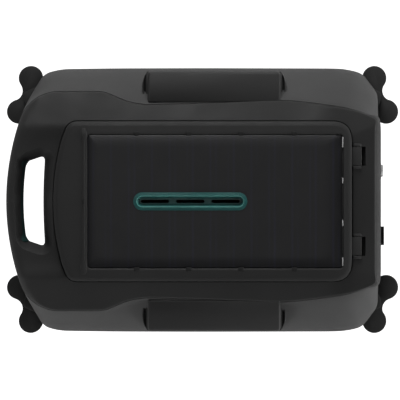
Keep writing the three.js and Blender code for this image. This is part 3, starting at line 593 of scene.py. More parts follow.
def metal(name, tone, roughness=0.3, brushed=(1, 60, 1)):
    """Metal with brush marks along one direction."""
    graph = new_graph(name)
    base = colour(tone)
    streak = graph.noise(120, 4, 0.6, brushed)
    return graph.finish(
        Base_Color=graph.blend(graph.spread(streak, 0, 0.6, 0.3, 0.7), base, shade(base, 0.7)),
        Roughness=graph.spread(streak, roughness - 0.08, roughness + 0.14, 0.3, 0.7),
        Normal=graph.bump(streak, 0.08, 0.0001),
        Metallic=1,
    )


def woven_mesh():
    """Fine filter mesh: two crossed threads."""
    graph = new_graph("filter_mesh")
    weave = graph.calculate("MULTIPLY", graph.wave(260, "DIAGONAL"), graph.wave(260, "Z"))
    share = graph.spread(weave, 0, 1, 0.1, 0.6)
    return graph.finish(
        Base_Color=graph.blend(share, colour((42, 44, 46)), colour((128, 131, 133))),
        Roughness=0.6,
        Normal=graph.bump(weave, 0.5, 0.0003),
    )


def circuit_board():
    """Green board with a net of lighter traces."""
    graph = new_graph("circuit_board")
    traces = graph.spread(graph.cells(420, "DISTANCE_TO_EDGE"), 1, 0, 0.02, 0.08)
    return graph.finish(
        Base_Color=graph.blend(traces, colour((18, 62, 38)), colour((60, 120, 74))),
        Roughness=0.35,
        Normal=graph.bump(traces, 0.2, 0.0001),
    )


MATERIAL = {
    "shell": moulded("shell_plastic", 39, 0.5, specular=0.26),
    # Lighter grey than the shell plastic. Part of this is painted light: the tone was raised to stand
    # in for light on the sloping flanks.
    "side": moulded("side_plastic", 56, 0.5, wear=10, specular=0.14),
    "pod": moulded("pod_plastic", 43, 0.5),
    "bracket": moulded("bracket_plastic", 31, 0.6, specular=0.2),
    "window": smoked_window(),
    "teal": teal_gloss(),
    # Pale, glossier teal for the outlet's bead: a painted highlight.
    "teal_painted_highlight": teal_gloss("teal_painted_highlight_plastic", (84, 142, 135), 0.4),
    "liner": teal_gloss("grip_teal", (28, 50, 48), 0.5),
    "trim": moulded("black_trim", 20, 0.5, specular=0.2),
    "pin": metal("blackened_steel", 44, 0.4),
    "button": moulded("button_plastic", 150, 0.35),
    "basket": moulded("basket_plastic", 58, 0.5),
    "mesh": woven_mesh(),
    "rubber": rubber("black_rubber", 24),
    "roller": rubber("roller_rubber", 38, 0.62),
    "track": rubber("track_rubber", 27, 0.78, 900, 0.4),
    "brush": teal_gloss("brush_teal", (38, 84, 80), 0.5),
    "wheel": moulded("wheel_plastic", 36, 0.5),
    "steel": metal("bright_steel", 178),
    "board": circuit_board(),
    "cell": moulded("cell_wrap", (44, 62, 98), 0.3, 1500, 0.05),
}


# ---------------- upper shell, handle and seat of the lid

DECK_SPINE = rays(-100, 100, 2.5, 1.25)
DECK_R = on_rays(DECK, DECK_SPINE)
FOOT_R = on_rays(DECK_FOOT, DECK_SPINE)
LID_R = on_rays(LID, DECK_SPINE)
WINDOW_R = on_rays(WINDOW, DECK_SPINE)
HULL_R = on_rays(HULL, DECK_SPINE)
SEAM = 0.7


def clamped(ring, other, margin, choose):
    """A ring kept outside (np.maximum) or inside (np.minimum) another by a margin."""
    origin, direction = DECK_SPINE
    mine, limit = (((r - origin) * direction).sum(axis=1) for r in (ring, other))
    return origin + direction * choose(mine, limit + margin)[:, None]


BODY_R = clamped(on_rays(BODY, DECK_SPINE), FOOT_R, -1.6, np.minimum)


SHOULDER_Y = 86
LEVEL_Z = 188.6
SHELF_SLOPE = 0.31
FACET_SLOPE = 0.13
SEAT_Z = 182
DECK_SHARES = (0.02, 0.05, 0.1, 0.16, 0.23, 0.31, 0.4, 0.49, 0.58, 0.67, 0.76, 0.85, 0.93, 1)


def deck_top(ring):
    """The deck's skin without its rounded rim: shelves that fall outwards, level at both ends."""
    x, y = ring[:, 0], np.abs(ring[:, 1])
    level = LEVEL_Z - 0.4
    shelf = LEVEL_Z - SHELF_SLOPE * (y - LID_HALF - 1)
    ridge = SHELF_SLOPE * (LID_HALF + 1 - SHOULDER_Y) * ease((-130 - x) / 20)
    front = level + ridge * np.exp(-(np.maximum(SHOULDER_Y - y, 0) / 13) ** 2)
    shoulder = 77 + 0.37 * np.clip(x - 173, 0, 27)
    rear = level - FACET_SLOPE * np.maximum(y - shoulder, 0)
    share = ease((y - SHOULDER_Y + 0.8) / 1.6)
    corner = ease((x - 128) / 34)
    rear = shelf * (1 - corner) + np.minimum(rear, shelf) * corner
    return np.where(x < 0, front * (1 - share) + shelf * share, rear)


def rim_height(ring):
    """Height of the rim: on the shelves' slope at the sides and the rear, low along the handle."""
    handle = ease((-178 - ring[:, 0]) / 20)
    return (deck_top(ring) - 0.9) * (1 - handle) + DECK_Z * handle


def deck_surface(share):
    """A ring between the deck's rim and the lid."""
    ring = DECK_R + (inset(LID_R, -2.4) - DECK_R) * share
    reach = np.linalg.norm(ring - DECK_R, axis=1)
    low, high = rim_height(DECK_R), deck_top(ring)
    width = 1.2 + 7.8 * ease((-184 - DECK_R[:, 0]) / 16)
    rise = np.sqrt(np.clip(1 - (1 - np.clip(reach / width, 0, 1)) ** 2, 0, 1))
    return raised(ring, low + (high - low) * rise)


def underside_height(ring):
    """The handle is a thick bar, the rear face tall, and the rest of the rim thin."""
    front = ease((-170 - ring[:, 0]) / 14)
    rear = np.where(np.abs(ring[:, 1]) < 92, ease((ring[:, 0] - 190) / 6), 0)
    return 168 - 16 * front - 26 * rear


def deck_rings():
    """The whole section of the deck: underside, rounded rim, skin, lid seat and inner wall."""
    under = underside_height(FOOT_R)
    low, high = under + 2.6, rim_height(DECK_R) - 0.3
    rings = [
        raised(clamped(inset(FOOT_R, 5), BODY_R, 0.5, np.maximum), under),
        raised(clamped(inset(FOOT_R, 1.4), BODY_R, 0.9, np.maximum), under + 0.6),
        raised(inset(FOOT_R, 0.3), under + 1.5),
    ]
    for degrees in (0, 22, 45, 62, 76, 90):
        angle = math.radians(degrees)
        ring = FOOT_R + (DECK_R - FOOT_R) * (1 - math.cos(angle))
        rings.append(raised(ring, low + (high - low) * math.sin(angle)))
    rings += [deck_surface(share) for share in DECK_SHARES]
    lip = deck_top(inset(LID_R, -1.3))
    rings += contour(LID_R, [
        (-1.1, lip - 0.05), (-SEAM - 0.1, lip - 0.25), (-SEAM, lip - 0.8), (-SEAM, SEAT_Z),
        (8, SEAT_Z), (8, 178.6),
    ])
    rings += contour(BODY_R, [
        (4, 173.6), (3, 170), (3, SPLIT_Z), (0.5, SPLIT_Z), (0, SPLIT_Z + 0.8), (0, under - 0.5),
    ])
    return rings


def grip_cutter():
    """The finger opening, with scooped rims above and below."""
    levels = [(-6, 140), (-5, 150), (-1.6, 154), (0, 159), (0, 171), (-1.2, 176), (-3.6, 181),
              (-7.5, 185.5), (-13, 190), (-20, 195)]
    return stack_solid("grip_cutter", contour(GRIP, levels))


def upper_shell():
    """Deck, handle and rear face in one skin, with its openings cut out."""
    shell = loop_solid("upper_shell_skin", deck_rings(), 34)
    cutters = [grip_cutter()]
    cutters += both_sides("hinge_pocket", (168, 40.5, 176), (187.4, 62.5, 205), 0.8)
    for radius, y in ((10.8, PORT_Y), (8.2, BUTTON_Y)):
        cutters.append(lathe("bore", cylinder(radius, 180, 215), "x", (0, y, FITTING_Z)))
    cut_out(shell, cutters)
    dress(shell, "shell", "chassis", "upper_shell")


def hinge_cheeks():
    """Lugs either side of each lid tab, and a near-black block behind it that is painted shade in the
    slot.
    """
    lugs = []
    for y in (37, 62.6):
        lugs += both_sides("lug", (173, y, 174), (182.4, y + 3.4, 190.6), 0.8)
    dress(merge("hinge_lugs", lugs), "shell", "chassis")
    # Near-black blocks under the tab slots: painted shade that makes the slots look deep.
    shade_blocks = both_sides("shade_block", (172.4, 38.4, 172), (188.4, 65, 174), 0.4)
    dress(merge("hinge_painted_shade", shade_blocks), "trim", "chassis")


def handle_liner():
    """Soft teal grip on the inner face of the handle."""
    section = [(-211.6, 182.6), (-209.4, 181.2), (-207.2, 178.6), (-205.4, 175), (-204.5, 170.5),
               (-204.5, 160), (-205.2, 156), (-207, 153.6)]
    ys = np.linspace(-46, 46, 60)
    shift = 2.2 * (ys / 36) ** 2
    taper = 3.2 * np.clip((np.abs(ys) - 38) / 8, 0, 1) ** 2
    rows = [np.column_stack([x + shift + taper + 0.4, ys, np.full(60, z)]) for x, z in section]
    rows += [row - (1.6, 0, 0.64) for row in rows[::-1]]
    dress(bar_solid("handle_grip_liner", rows), "liner", "chassis", "handle_liner", slot="teal")


# ---------------- side covers and pods

def cover_columns():
    """The rays from the rear corner round to the front corner on the left side."""
    reach = HULL_R - DECK_SPINE[0]
    angle = np.degrees(np.arctan2(reach[:, 1], reach[:, 0]))
    index = np.where((angle > 41.8) & (angle < 139.5) & (HULL_R[:, 1] > 0))[0]
    return index[np.argsort(-HULL_R[index, 0])]


def side_cover(label, side):
    """A flank: a sheet from the foot over the crease to the deck's rim, with arches at its ends."""
    columns = cover_columns()
    crease = inset(DECK_R, -0.55)[columns]
    edge = HULL_R[columns]
    foot, top = 50, COVER_TOP
    profile = [
        (0.03, foot), (0, 51.2), (0, 56), (0, 72), (0, 92), (0, 112), (0.012, 119), (0.045, 126),
        (0.11, 133), (0.21, 140.5), (0.34, 148), (0.5, 156), (0.66, 163.5), (0.8, 169.8),
        (0.91, 174.2), (0.97, 176.2), (1, top),
    ]
    foot_x = (edge + (crease - edge) * profile[0][0])[:, 0]
    lift = np.clip((foot_x - 158) / 14, 0, 1) + np.clip((-154 - foot_x) / 14, 0, 1)
    rows = []
    for share, z in profile:
        height = np.maximum(z, foot + 27 * ease(lift) + (z - foot) * 0.3)
        height += (rim_height(crease) - 0.8 - top) * ease((z - 112) / (top - 112))
        rows.append(np.column_stack([edge + (crease - edge) * share, height]))
    faces = grid_faces(len(rows), len(columns), False, False)
    cover = make(f"side_cover_{label}_skin", np.vstack(rows), faces)
    thickness = cover.modifiers.new("thickness", "SOLIDIFY")
    thickness.thickness = 2.6 * MM
    thickness.offset = -1
    if cover.data.polygons[len(cover.data.polygons) // 2].normal.y < 0:
        cover.data.flip_normals()
    settle(cover)
    round_edges(cover, 0.5, 2, 50)
    dress(on_side(cover, side), "side", "chassis", f"side_cover_{label}")


def side_pod(label, side):
    """A dark panel with a sloping top and three grooves."""
    (x0, x1), (y0, y1) = (POD_LOW[0], POD_HIGH[0]), (112.4, 148.8)
    outline = rounded([(x1, y0, 3), (x1, y1, 5), (x0, y1, 5), (x0, y0, 3)], 5)
    top = POD_HIGH[2]
    fall = 0.05 * (outline[:, 1] - outline[:, 1].min())
    levels = [(2, 66, 0), (0.6, 66.4, 0), (0, 68, 0), (0, top - 3.4, 1), (0.3, top - 1.8, 1),
              (1, top - 0.6, 1), (2.2, top, 1)]
    rings = [raised(inset(outline, d), z - fall * tilt) for d, z, tilt in levels]
    pod = stack_solid(f"side_pod_{label}_cap", rings, 30)
    cut_out(pod, [block("groove", (-56, 147.2, z), (84, 152, z + 3), 0.4) for z in (134, 144, 154)])
    dress(on_side(pod, side), "pod", "chassis", f"side_pod_{label}")


def crescent(x, direction, bulge, half, y=131):
    """A half-moon outline: a straight edge at x, bulging by bulge along direction."""
    points = []
    for i in range(25):
        v = -1 + 2 * i / 24
        points.append((x + direction * bulge * (1 - v * v) ** 0.8, y + half * v * direction))
    points.append((x - direction * 0.6, y + half * direction))
    points.append((x - direction * 0.6, y - half * direction))
    return np.array(points)


def pod_ends(label, side):
    """A raised half-moon rim round a pocket at each end of a pod; the pocket's floor is a near-black
    plate that is painted shade.
    """
    rims, shade_floors = [], []
    top = POD_HIGH[2] - 11
    for x, direction in ((POD_LOW[0], -1), (POD_HIGH[0], 1)):
        outer = crescent(x, direction, 6.4, 17.5)
        inner = crescent(x + direction * 2.4, direction, 2.6, 13.5)
        cutter = stack_solid("pocket", [raised(inner, top - 4), raised(inner, top + 5)])
        rims.append(cut_out(plate("rim", outer, 108, top, 0.7), [cutter]))
        # Near-black floor in each pocket: painted shade.
        shade_floors.append(plate("floor", inset(inner, 0.2), top - 4.6, top - 3.6, 0.2))
    dress(on_side(merge(f"pod_end_rims_{label}", rims), side), "side", "chassis")
    dress(on_side(merge(f"pod_end_pockets_{label}", shade_floors), side), "trim", "chassis")


# ---------------- lid

def lid_frame():
    """The lid's surround, a ring of section, with its two ribbed hinge tabs."""
    rings = contour(LID_R, [
        (1.2, 185.2), (0.3, 185.6), (0.05, 187), (0.05, 196), (0.2, 196.6), (0.6, 196.9),
        (3.8, 197.8), (4.4, 198), (5.4, 198.15),
    ])
    outer, inner = inset(LID_R, 5.4), inset(WINDOW_R, -1.6)
    for share in (0.25, 0.5, 0.75):
        rings.append(raised(outer + (inner - outer) * share, 198.1 + 0.6 * share))
    rings += contour(WINDOW_R, [
        (-1.6, 198.7), (-0.7, 198.5), (-0.1, 198), (0, 195), (5, 195), (5, 193), (-3, 193),
    ])
    rings += contour(LID_R, [(5, 191), (3.4, 185.4)])
    parts = [loop_solid("lid_surround", rings, 34)]
    parts += both_sides("tab", (167.5, 41, 185.4), (182.8, 62, 190.4), 0.6, 4)
    for y in (46, 51.5, 57):
        parts += both_sides("rib", (174, y - 0.5, 184.6), (180, y + 0.5, 185.6), 0.2, 1)
    dress(merge("lid_surround_tabs", parts), "shell", "lid", "lid_frame")


def lid_crease():
    """The low ridge between the lid's front band and its window, with its rounded ends."""
    ys = np.linspace(-84, 84, 121)
    x = WINDOW_LOW[0] - 4.2
    knob = np.exp(-((np.abs(ys) - 76) / 6.5) ** 2)
    width = 1.7 + 2.4 * knob
    height = 0.95 + 0.35 * knob
    fade = np.clip((84 - np.abs(ys)) / 5, 0, 1)
    rows = []
    for i in range(13):
        angle = math.pi * i / 12
        z = 198.45 + (height * np.sin(angle)) * fade
        rows.append(np.column_stack([x - width * np.cos(angle), ys, z]))
    for edge in (x + width, x - width):
        rows.append(np.column_stack([edge, ys, np.full(121, 196.5)]))
    dress(bar_solid("lid_ridge", rows), "shell", "lid")


def lid_window():
    """The smoked panel round the outlet."""
    spine = rays(-58, 34, 2.5, 1.5)
    slot = on_rays(stadium(OUTLET_X, 0, OUTLET_SIZE[0] - 1.6, OUTLET_SIZE[1] - 1.6), spine)
    outer = inset(on_rays(WINDOW, spine), 0.75)
    top = 198.3
    rings = contour(outer, [(0.4, 195.4), (0, 195.9), (0, 197.6), (0.25, 198.05), (0.8, top)])
    first = inset(outer, 0.8)
    for share in (0.2, 0.4, 0.6, 0.8):
        rings.append(raised(first + (slot - first) * share, top + 0.12 * math.sin(math.pi * share)))
    rings += [raised(slot, top), raised(slot, 195.4)]
    dress(loop_solid("lid_window_panel", rings, 34), "window", "lid", "lid_window")


def window_edge():
    """Clips round the window, and pale strips along its rear edge that are painted glints, with dark
    seals between them.
    """
    half, front, rear = WINDOW_HIGH[1], WINDOW_LOW[0], WINDOW_HIGH[0]
    clips = [block("clip", (front - 6.2, -3, 197), (front - 3, 3, 199.6))]
    for x in (-74.5, -15, 45, 106):
        clips += both_sides("clip", (x - 3.2, half * 0.985, 196.5), (x + 3.2, half + 3.6, 199), 0.7)
    dress(merge("window_clips", clips), "trim", "lid")
    # Pale grey strips on the window's rear edge: painted glints of light.
    glint_strips = [block("glint_strip", (rear - 1.1, y0, 197), (rear + 0.1, y1, 198.85), 0.3, 2)
              for y0, y1 in ((61.5, 74), (20.5, 27), (-28, -21), (-73.5, -64))]
    dress(merge("window_edge_painted_glints", glint_strips), "button", "lid")
    seals = [block("seal", (rear - 1, y0, 197), (rear, y1, 198.75), 0.3, 2)
             for y0, y1 in ((29, 58), (-19, 18.5), (-62, -30))]
    dress(merge("window_edge_seals", seals), "trim", "lid")


def outlet():
    """The teal outlet: a funnel with a pale teal bead round it that is a painted highlight, and a bar
    with three slots.
    """
    base = stadium(OUTLET_X, 0, *OUTLET_SIZE, 28)
    section = [
        (0.9, 197.2), (0, 198.4), (0.2, 198.8), (0.8, 199), (1.9, 199.05), (2.3, 199.3),
        (2.7, 199.75), (3.15, 199.85), (3.6, 199.6), (4, 199), (4.6, 198.5), (5.3, 198.1),
        (5.8, 197.4), (6.5, 195), (7.2, 190), (8, 183), (7, 182.6), (5.6, 190), (5, 195.5),
        (3.4, 197),
    ]
    dress(loop_solid("outlet_rim", contour(base, section), 30), "teal", "lid", "outlet_nozzle")
    # A pale teal bead on the rim's crest: a painted highlight, not a part of its own.
    line = [(3.95 + 0.5 * math.cos(angle), 199.2 + 0.5 * math.sin(angle))
            for angle in np.linspace(0, TAU, 11)[:-1]]
    highlight_bead = loop_solid("outlet_painted_highlight_bead", contour(base, line), 60)
    dress(highlight_bead, "teal_painted_highlight", "lid", "outlet_nozzle", slot="teal")
    bar = plate("outlet_bar", inset(base, 6.3), 192.6, 196.2, 0.4)
    slots = []
    for i in (-1, 0, 1):
        hole = stadium(OUTLET_X + i * 40.4, 0, 32.5, 3.8, 10)
        slots.append(stack_solid("slot", [raised(hole, 185), raised(hole, 205)]))
    cut_out(bar, slots)
    dress(bar, "teal", "lid", "outlet_grille", slot="trim")


# ---------------- guide rollers at the corners

ROLLERS = {"outer": (211.1, 101), "inner": (197.5, 139.6)}


def bone_outline(a, b, radius, outer_waist, inner_waist, steps=14):
    """Two round lobes joined by a waist, hollow on its outer side."""
    a, b = np.array(a, float), np.array(b, float)
    along = (b - a) / np.linalg.norm(b - a)
    across = np.array([-along[1], along[0]])
    middle, half = (a + b) / 2, np.linalg.norm(b - a) / 2
    waists = (inner_waist, outer_waist)
    hollows = [(radius ** 2 - half ** 2 - w ** 2) / (2 * w - 2 * radius) for w in waists]
    leans = [math.asin(half / (radius + hollow)) for hollow in hollows]
    points = []
    for centre, sign, k in ((b, 1, 0), (a, -1, 1)):
        start, end = leans[1 - k] - math.pi, math.pi - leans[k]
        for i in range(steps * 2 + 1):
            turn = start + (end - start) * i / (steps * 2)
            arm = along * math.cos(turn) + across * math.sin(turn)
            points.append(centre + radius * sign * arm)
        hollow_centre = middle + sign * across * (hollows[k] + waists[k])
        for i in range(1, steps):
            turn = leans[k] * (1 - 2 * i / steps)
            arm = along * math.sin(turn) - across * math.cos(turn)
            points.append(hollow_centre + sign * hollows[k] * arm)
    return np.array(points)


def corner_bracket():
    """Top and bottom plates on a post, with the tab that fixes them under the side cover."""
    ends = ROLLERS["outer"], ROLLERS["inner"]
    tab = rounded([(206, 123, 4), (182, 134, 4), (176, 127, 4), (186, 108, 4), (203, 108, 4)], 4)
    pieces = [
        plate("top", bone_outline(*ends, 13.8, 3.4, 11.5), 67.4, 72.2, 0.9),
        plate("bottom", bone_outline(*ends, 12.6, 3.2, 11), 29.8, 34.4, 1),
        plate("tab", tab, 68, 76.4, 0.8),
        lathe("post", cylinder(5.2, 31, 70), "z", (201.8, 119.5, 0), 24),
    ]
    nut = [(0, 27.6), (4.6, 27.6), (5, 28.2), (5, 30.4), (0, 30.4)]
    pieces += [lathe("nut", nut, "z", (x, y, 0), 6) for x, y in ends]
    for x, y in ((196, 118), (189, 125)):
        pieces.append(lathe("screw", cylinder(3.2, 66.6, 68.6), "z", (x, y, 0), 20))
    return merge("corner_bracket_master", pieces)


def guide_roller():
    """A ribbed rubber tyre on a plain hub."""
    profile = [(0, 34.9), (5.5, 34.9), (6.2, 35.6), (9.4, 35.7), (10.2, 36.2), (12.7, 36.3),
               (13.6, 37), (13.9, 38.2)]
    for z in (42, 47.6, 53.2, 58.8):
        profile += [(13.9, z - 1.1), (13, z - 0.5), (13, z + 0.5), (13.9, z + 1.1)]
    profile += [(13.9, 63.8), (13.6, 65), (12.7, 65.7), (10.2, 65.8), (9.4, 66.3), (6.2, 66.4),
                (5.5, 67.1), (0, 67.1)]
    return lathe("guide_roller_master", profile, "z", (0, 0, 0), 44)


def corners():
    """Bracket and rollers at each of the four corners, as mirror images of one set."""
    bracket, roller = corner_bracket(), guide_roller()
    for end, front in ENDS.items():
        for label, side in SIDES.items():
            corner = f"{end}_{label}"
            arms = mirror_copy(bracket, f"corner_bracket_{corner}_arms", front, side)
            smooth(arms, 35)
            dress(arms, "bracket", "chassis", f"corner_bracket_{corner}")
            for spot, (x, y) in ROLLERS.items():
                name = f"guide_roller_{corner}_{spot}"
                tyre = mirror_copy(roller, name + "_tyre")
                tyre.data.transform(Matrix.Translation((front * x * MM, side * y * MM, 0)))
                dress(tyre, "roller", f"roller_{corner}_{spot}", name)
    for master in (bracket, roller):
        bpy.data.objects.remove(master, do_unlink=True)


# ---------------- tracks, wheels and brushes

FRONT_AXLE, REAR_AXLE, AXLE_Z = -112, 128, 48
BELT_RADIUS = 45
BELT_DEPTH = 3.6
BELT_MIDDLE = 127
PITCHES = 62


def belt_place(share):
    """Point and outward direction at a share of the way round the belt."""
    run, turn = REAR_AXLE - FRONT_AXLE, math.pi * BELT_RADIUS
    along = (share % 1) * 2 * (run + turn)
    if along < run:
        return (FRONT_AXLE + along, AXLE_Z - BELT_RADIUS), -math.pi / 2
    if run + turn <= along < 2 * run + turn:
        return (REAR_AXLE - (along - run - turn), AXLE_Z + BELT_RADIUS), math.pi / 2
    if along < run + turn:
        axle, angle = REAR_AXLE, -math.pi / 2 + (along - run) / BELT_RADIUS
    else:
        axle, angle = FRONT_AXLE, math.pi / 2 + (along - 2 * run - turn) / BELT_RADIUS
    return (axle + BELT_RADIUS * math.cos(angle), AXLE_Z + BELT_RADIUS * math.sin(angle)), angle


def belt_band():
    """The plain band of the belt."""
    section = [(-BELT_DEPTH, 113.4), (-BELT_DEPTH, 140.6), (-3, 141), (-0.6, 141), (0, 140.4),
               (0, 113.6), (-0.6, 113), (-3, 113)]
    steps = 200
    places = [belt_place(i / steps) for i in range(steps)]
    rings = []
    for depth, y in section:
        rings.append(np.array([(x + depth * math.cos(angle), y, z + depth * math.sin(angle))
                               for (x, z), angle in places]))
    return loop_solid("band", rings, 35)


def lug(y0, y1, height, length, skew, taper=0.8):
    """One tread bar, drawn flat: along the belt, across it, and outwards."""
    half = length / 2
    corners = []
    for h, pinch in ((-0.6, 0), (height - 0.5, taper * 0.6), (height, taper)):
        reach, low, high = half - pinch, y0 + pinch, y1 - pinch
        for u, v in ((-reach, low), (reach, low), (reach, high), (-reach, high)):
            corners.append((u + skew * (v - BELT_MIDDLE) / 14 * 3, v, h))
    faces = [(0, 3, 2, 1), (8, 9, 10, 11)]
    for level in (0, 4):
        for i in range(4):
            j = (i + 1) % 4
            faces.append((level + i, level + j, level + 4 + j, level + 4 + i))
    return corners, faces


def tread_bars():
    """Slanted bars in two rows outside, and driving teeth inside."""
    vertices, faces = [], []
    for i in range(PITCHES):
        parts = [
            (lug(113.8, 125.6, 2.9, 5.2, 1), i + 0.5, 1),
            (lug(128.4, 140.2, 2.9, 5.2, -1), i + 1, 1),
            (lug(121, 133, 2.4, 4.6, 0), i + 0.5, -1),
        ]
        for (corners, sides), pitch, outward in parts:
            (x, z), angle = belt_place(pitch / PITCHES)
            first = len(vertices)
            for u, v, h in corners:
                lift = h if outward > 0 else -BELT_DEPTH - h
                vertices.append((x + lift * math.cos(angle) - u * math.sin(angle), v,
                                 z + lift * math.sin(angle) + u * math.cos(angle)))
            faces += [tuple(first + k for k in face) for face in sides]
    return make("bars", vertices, faces, 30)


def tracks():
    """The belt on both sides, its lowest bar on the ground."""
    whole = merge("track_left_belt", [belt_band(), tread_bars()])
    for label, side in SIDES.items():
        belt = whole if side > 0 else mirror_copy(whole, "track_right_belt", y=-1)
        low = min(v.co.z for v in belt.data.vertices)
        belt.data.transform(Matrix.Translation((0, 0, max(0, -low))))
        smooth(belt, 35)
        dress(belt, "track", "chassis", f"track_{label}")


def wheel(label, end, side):
    """A rim grooved for the belt's teeth, with hub, web and six spokes."""
    x = REAR_AXLE if end == "drive" else FRONT_AXLE
    turned = [
        ("rim", [(33.5, 114.4), (40.2, 114.4), (40.9, 115), (40.9, 120.4), (38.6, 121), (38.6, 133),
                 (40.9, 133.6), (40.9, 139), (40.2, 139.6), (34.5, 139.6), (33.5, 138.8)], 64),
        ("hub", [(0, 114.4), (11.5, 114.4), (12.6, 115.4), (12.6, 138.4), (11.6, 139.5),
                 (8.4, 139.6), (7.6, 138.6), (0, 138.6)], 40),
        ("web", [(10, 124.6), (35, 124.6), (35, 127.4), (10, 127.4)], 48),
    ]
    if end == "drive":
        turned += [
            ("axle", [(0, 100.4), (4.6, 100.4), (5, 100.9), (5, 116), (0, 116)], 28),
            ("bolt", [(0, 138), (5.4, 138), (5.4, 140.8), (4.8, 141.4), (0, 141.4)], 6),
        ]
    pieces = [lathe(name, profile, "y", (x, 0, AXLE_Z), steps) for name, profile, steps in turned]
    at_axle = Matrix.Translation((x * MM, 0, AXLE_Z * MM))
    for i in range(6):
        spoke = block("spoke", (10, 127, -3.2), (35, 134, 3.2), 0.9, 2)
        spoke.data.transform(at_axle @ Matrix.Rotation(TAU * i / 6, 4, "Y"))
        pieces.append(spoke)
    name = f"{end}_wheel_{label}"
    dress(on_side(merge(name + "_spoked", pieces), side), "wheel", name, name)


def brush(end):
    """A core with ten fins, each swept into a shallow V and slit into short blades."""
    low, high = node_box(f"brush_roller_{end}")
    x, z = (low[0] + high[0]) / 2, (low[2] + high[2]) / 2
    core = [(0, -85.5), (11.4, -85.5), (12.6, -84.3), (12.6, 84.3), (11.4, 85.5), (0, 85.5)]
    stub = [(0, -104.2), (3.6, -104.2), (4, -103.6), (4, 103.6), (3.6, 104.2), (0, 104.2)]
    pieces = [lathe("core", core, "y", (x, 0, z), 40), lathe("stub", stub, "y", (x, 0, z), 20)]
    sides = []
    for a, b in ((0, 2), (2, 4), (4, 6)):
        sides += [(a, b, b + 8, a + 8), (a + 1, a + 9, b + 9, b + 1), (a, a + 1, b + 1, b),
                  (a + 8, b + 8, b + 9, a + 9)]
    sides += [(6, 7, 15, 14), (0, 8, 9, 1)]
    vertices, faces = [], []
    fins, blades, half_length = 10, 34, 84
    for i in range(fins):
        for k in range(blades):
            y0 = -half_length + 2 * half_length * k / blades
            y1 = y0 + 2 * half_length / blades * 0.86
            faces += [[len(vertices) + v for v in face] for face in sides]
            for y in (y0, y1):
                sweep = TAU * i / fins + 0.5 * abs(y) / half_length
                for radius, half in ((12.2, 0.085), (19, 0.05), (25.6, 0.028), (26.4, 0.014)):
                    for angle in (sweep - half, sweep + half):
                        vertices.append((x + radius * math.cos(angle), y,
                                         z + radius * math.sin(angle)))
    pieces.append(make("fins", vertices, faces, 30))
    dress(merge(f"brush_{end}_fins", pieces), "brush", f"brush_{end}", f"brush_roller_{end}")


# ---------------- rear face and underside

def charge_cap():
    """Rubber cap on a hinge barrel, with a pull tab and a plug that fills the port."""
    y0, y1 = PORT_Y - 10.5, PORT_Y + 10.5
    outline = rounded([(y1, -12, 3), (y0, -12, 3), (y0, 12, 5), (y1, 12, 5)], 5)
    cap = plate("cap", outline, 0, 3.6, 0.9)
    upright = Matrix(((0, 0, 1, 0), (1, 0, 0, 0), (0, 1, 0, 0), (0, 0, 0, 1)))
    cap.data.transform(Matrix.Translation((REAR_FACE * MM, 0, FITTING_Z * MM)) @ upright)
    barrel = [(0, -10.5), (1.3, -10.5), (1.8, -10), (1.8, 10), (1.3, 10.5), (0, 10.5)]
    plug = [(0, 199), (3.6, 199), (4.4, 199.8), (4.4, 206), (0, 206)]
    dress(merge("charge_cap_flap", [
        cap,
        block("pull", (207.4, PORT_Y - 4, 139), (208.6, PORT_Y + 4, 143.4), 0.5),
        lathe("barrel", barrel, "y", (206.8, PORT_Y, 118.5), 20),
        block("neck", (205.8, PORT_Y - 9.6, 118.4), (207.6, PORT_Y + 9.6, 122), 0.4),
        lathe("plug", plug, "x", (0, PORT_Y, FITTING_Z), 28),
    ]), "rubber", "charge_cap", "charge_cap")


def power_button():
    """A domed button with a dished top, in a collar."""
    centre = (0, BUTTON_Y, FITTING_Z)
    head = [
        (0, 193), (4.2, 193), (4.2, 197.5), (6.6, 197.5), (7, 198), (7, 206.4), (6.6, 207.1),
        (5.6, 207.5), (2.8, 207.3), (2.2, 206.9), (0, 206.8),
    ]
    collar = [(7.5, 203.2), (10.2, 203.2), (10.2, 204.6), (9.6, 205.2), (8.2, 205.2), (7.5, 204.6)]
    button = lathe("power_button_head", head, "x", centre, 40)
    dress(button, "button", "power_button", "power_button")
    dress(lathe("button_collar", collar, "x", centre, 40), "trim", "chassis")


def underside():
    """Lips round the inlets, ribs and screws under the tub."""
    parts, screws = [], []
    section = [(0, 22.6), (0, 20.4), (0.6, 19.6), (1.8, 19.4), (2.6, 20.2), (2.6, 22.6)]
    for x in (-108, 106):
        x0, x1 = x - 13.5, x + 13.5
        lip = rounded([(x0, -54.5, 6), (x1, -54.5, 6), (x1, 54.5, 6), (x0, 54.5, 6)], 5)
        parts.append(loop_solid("lip", contour(lip, section), 35))
        for y in (-27, 0, 27):
            parts.append(block("bar", (x - 12, y - 1, 20.6), (x + 12, y + 1, 24), 0.4))
    for y in (-78, -26, 26, 78):
        parts.append(block("rib", (-78, y - 1.2, 20.2), (76, y + 1.2, 22.4), 0.6))
    boss = [(0, 20.6), (4.4, 20.6), (5.2, 21.2), (5.2, 22.6), (0, 22.6)]
    screw = [(0, 20.1), (1.3, 20.1), (1.3, 19.6), (2.4, 19.6), (3, 20.1), (3, 20.8), (0, 20.8)]
    for x in (-84, 0, 84):
        for y in (-92, 92):
            parts.append(lathe("boss", boss, "z", (x, y, 0), 24))
            screws.append(lathe("screw", screw, "z", (x, y, 0), 20))
    dress(merge("underside_ribs", parts), "shell", "chassis")
    dress(merge("underside_screws", screws), "steel", "chassis")


# ---------------- CAD nodes that stay, with soft edges and finishes

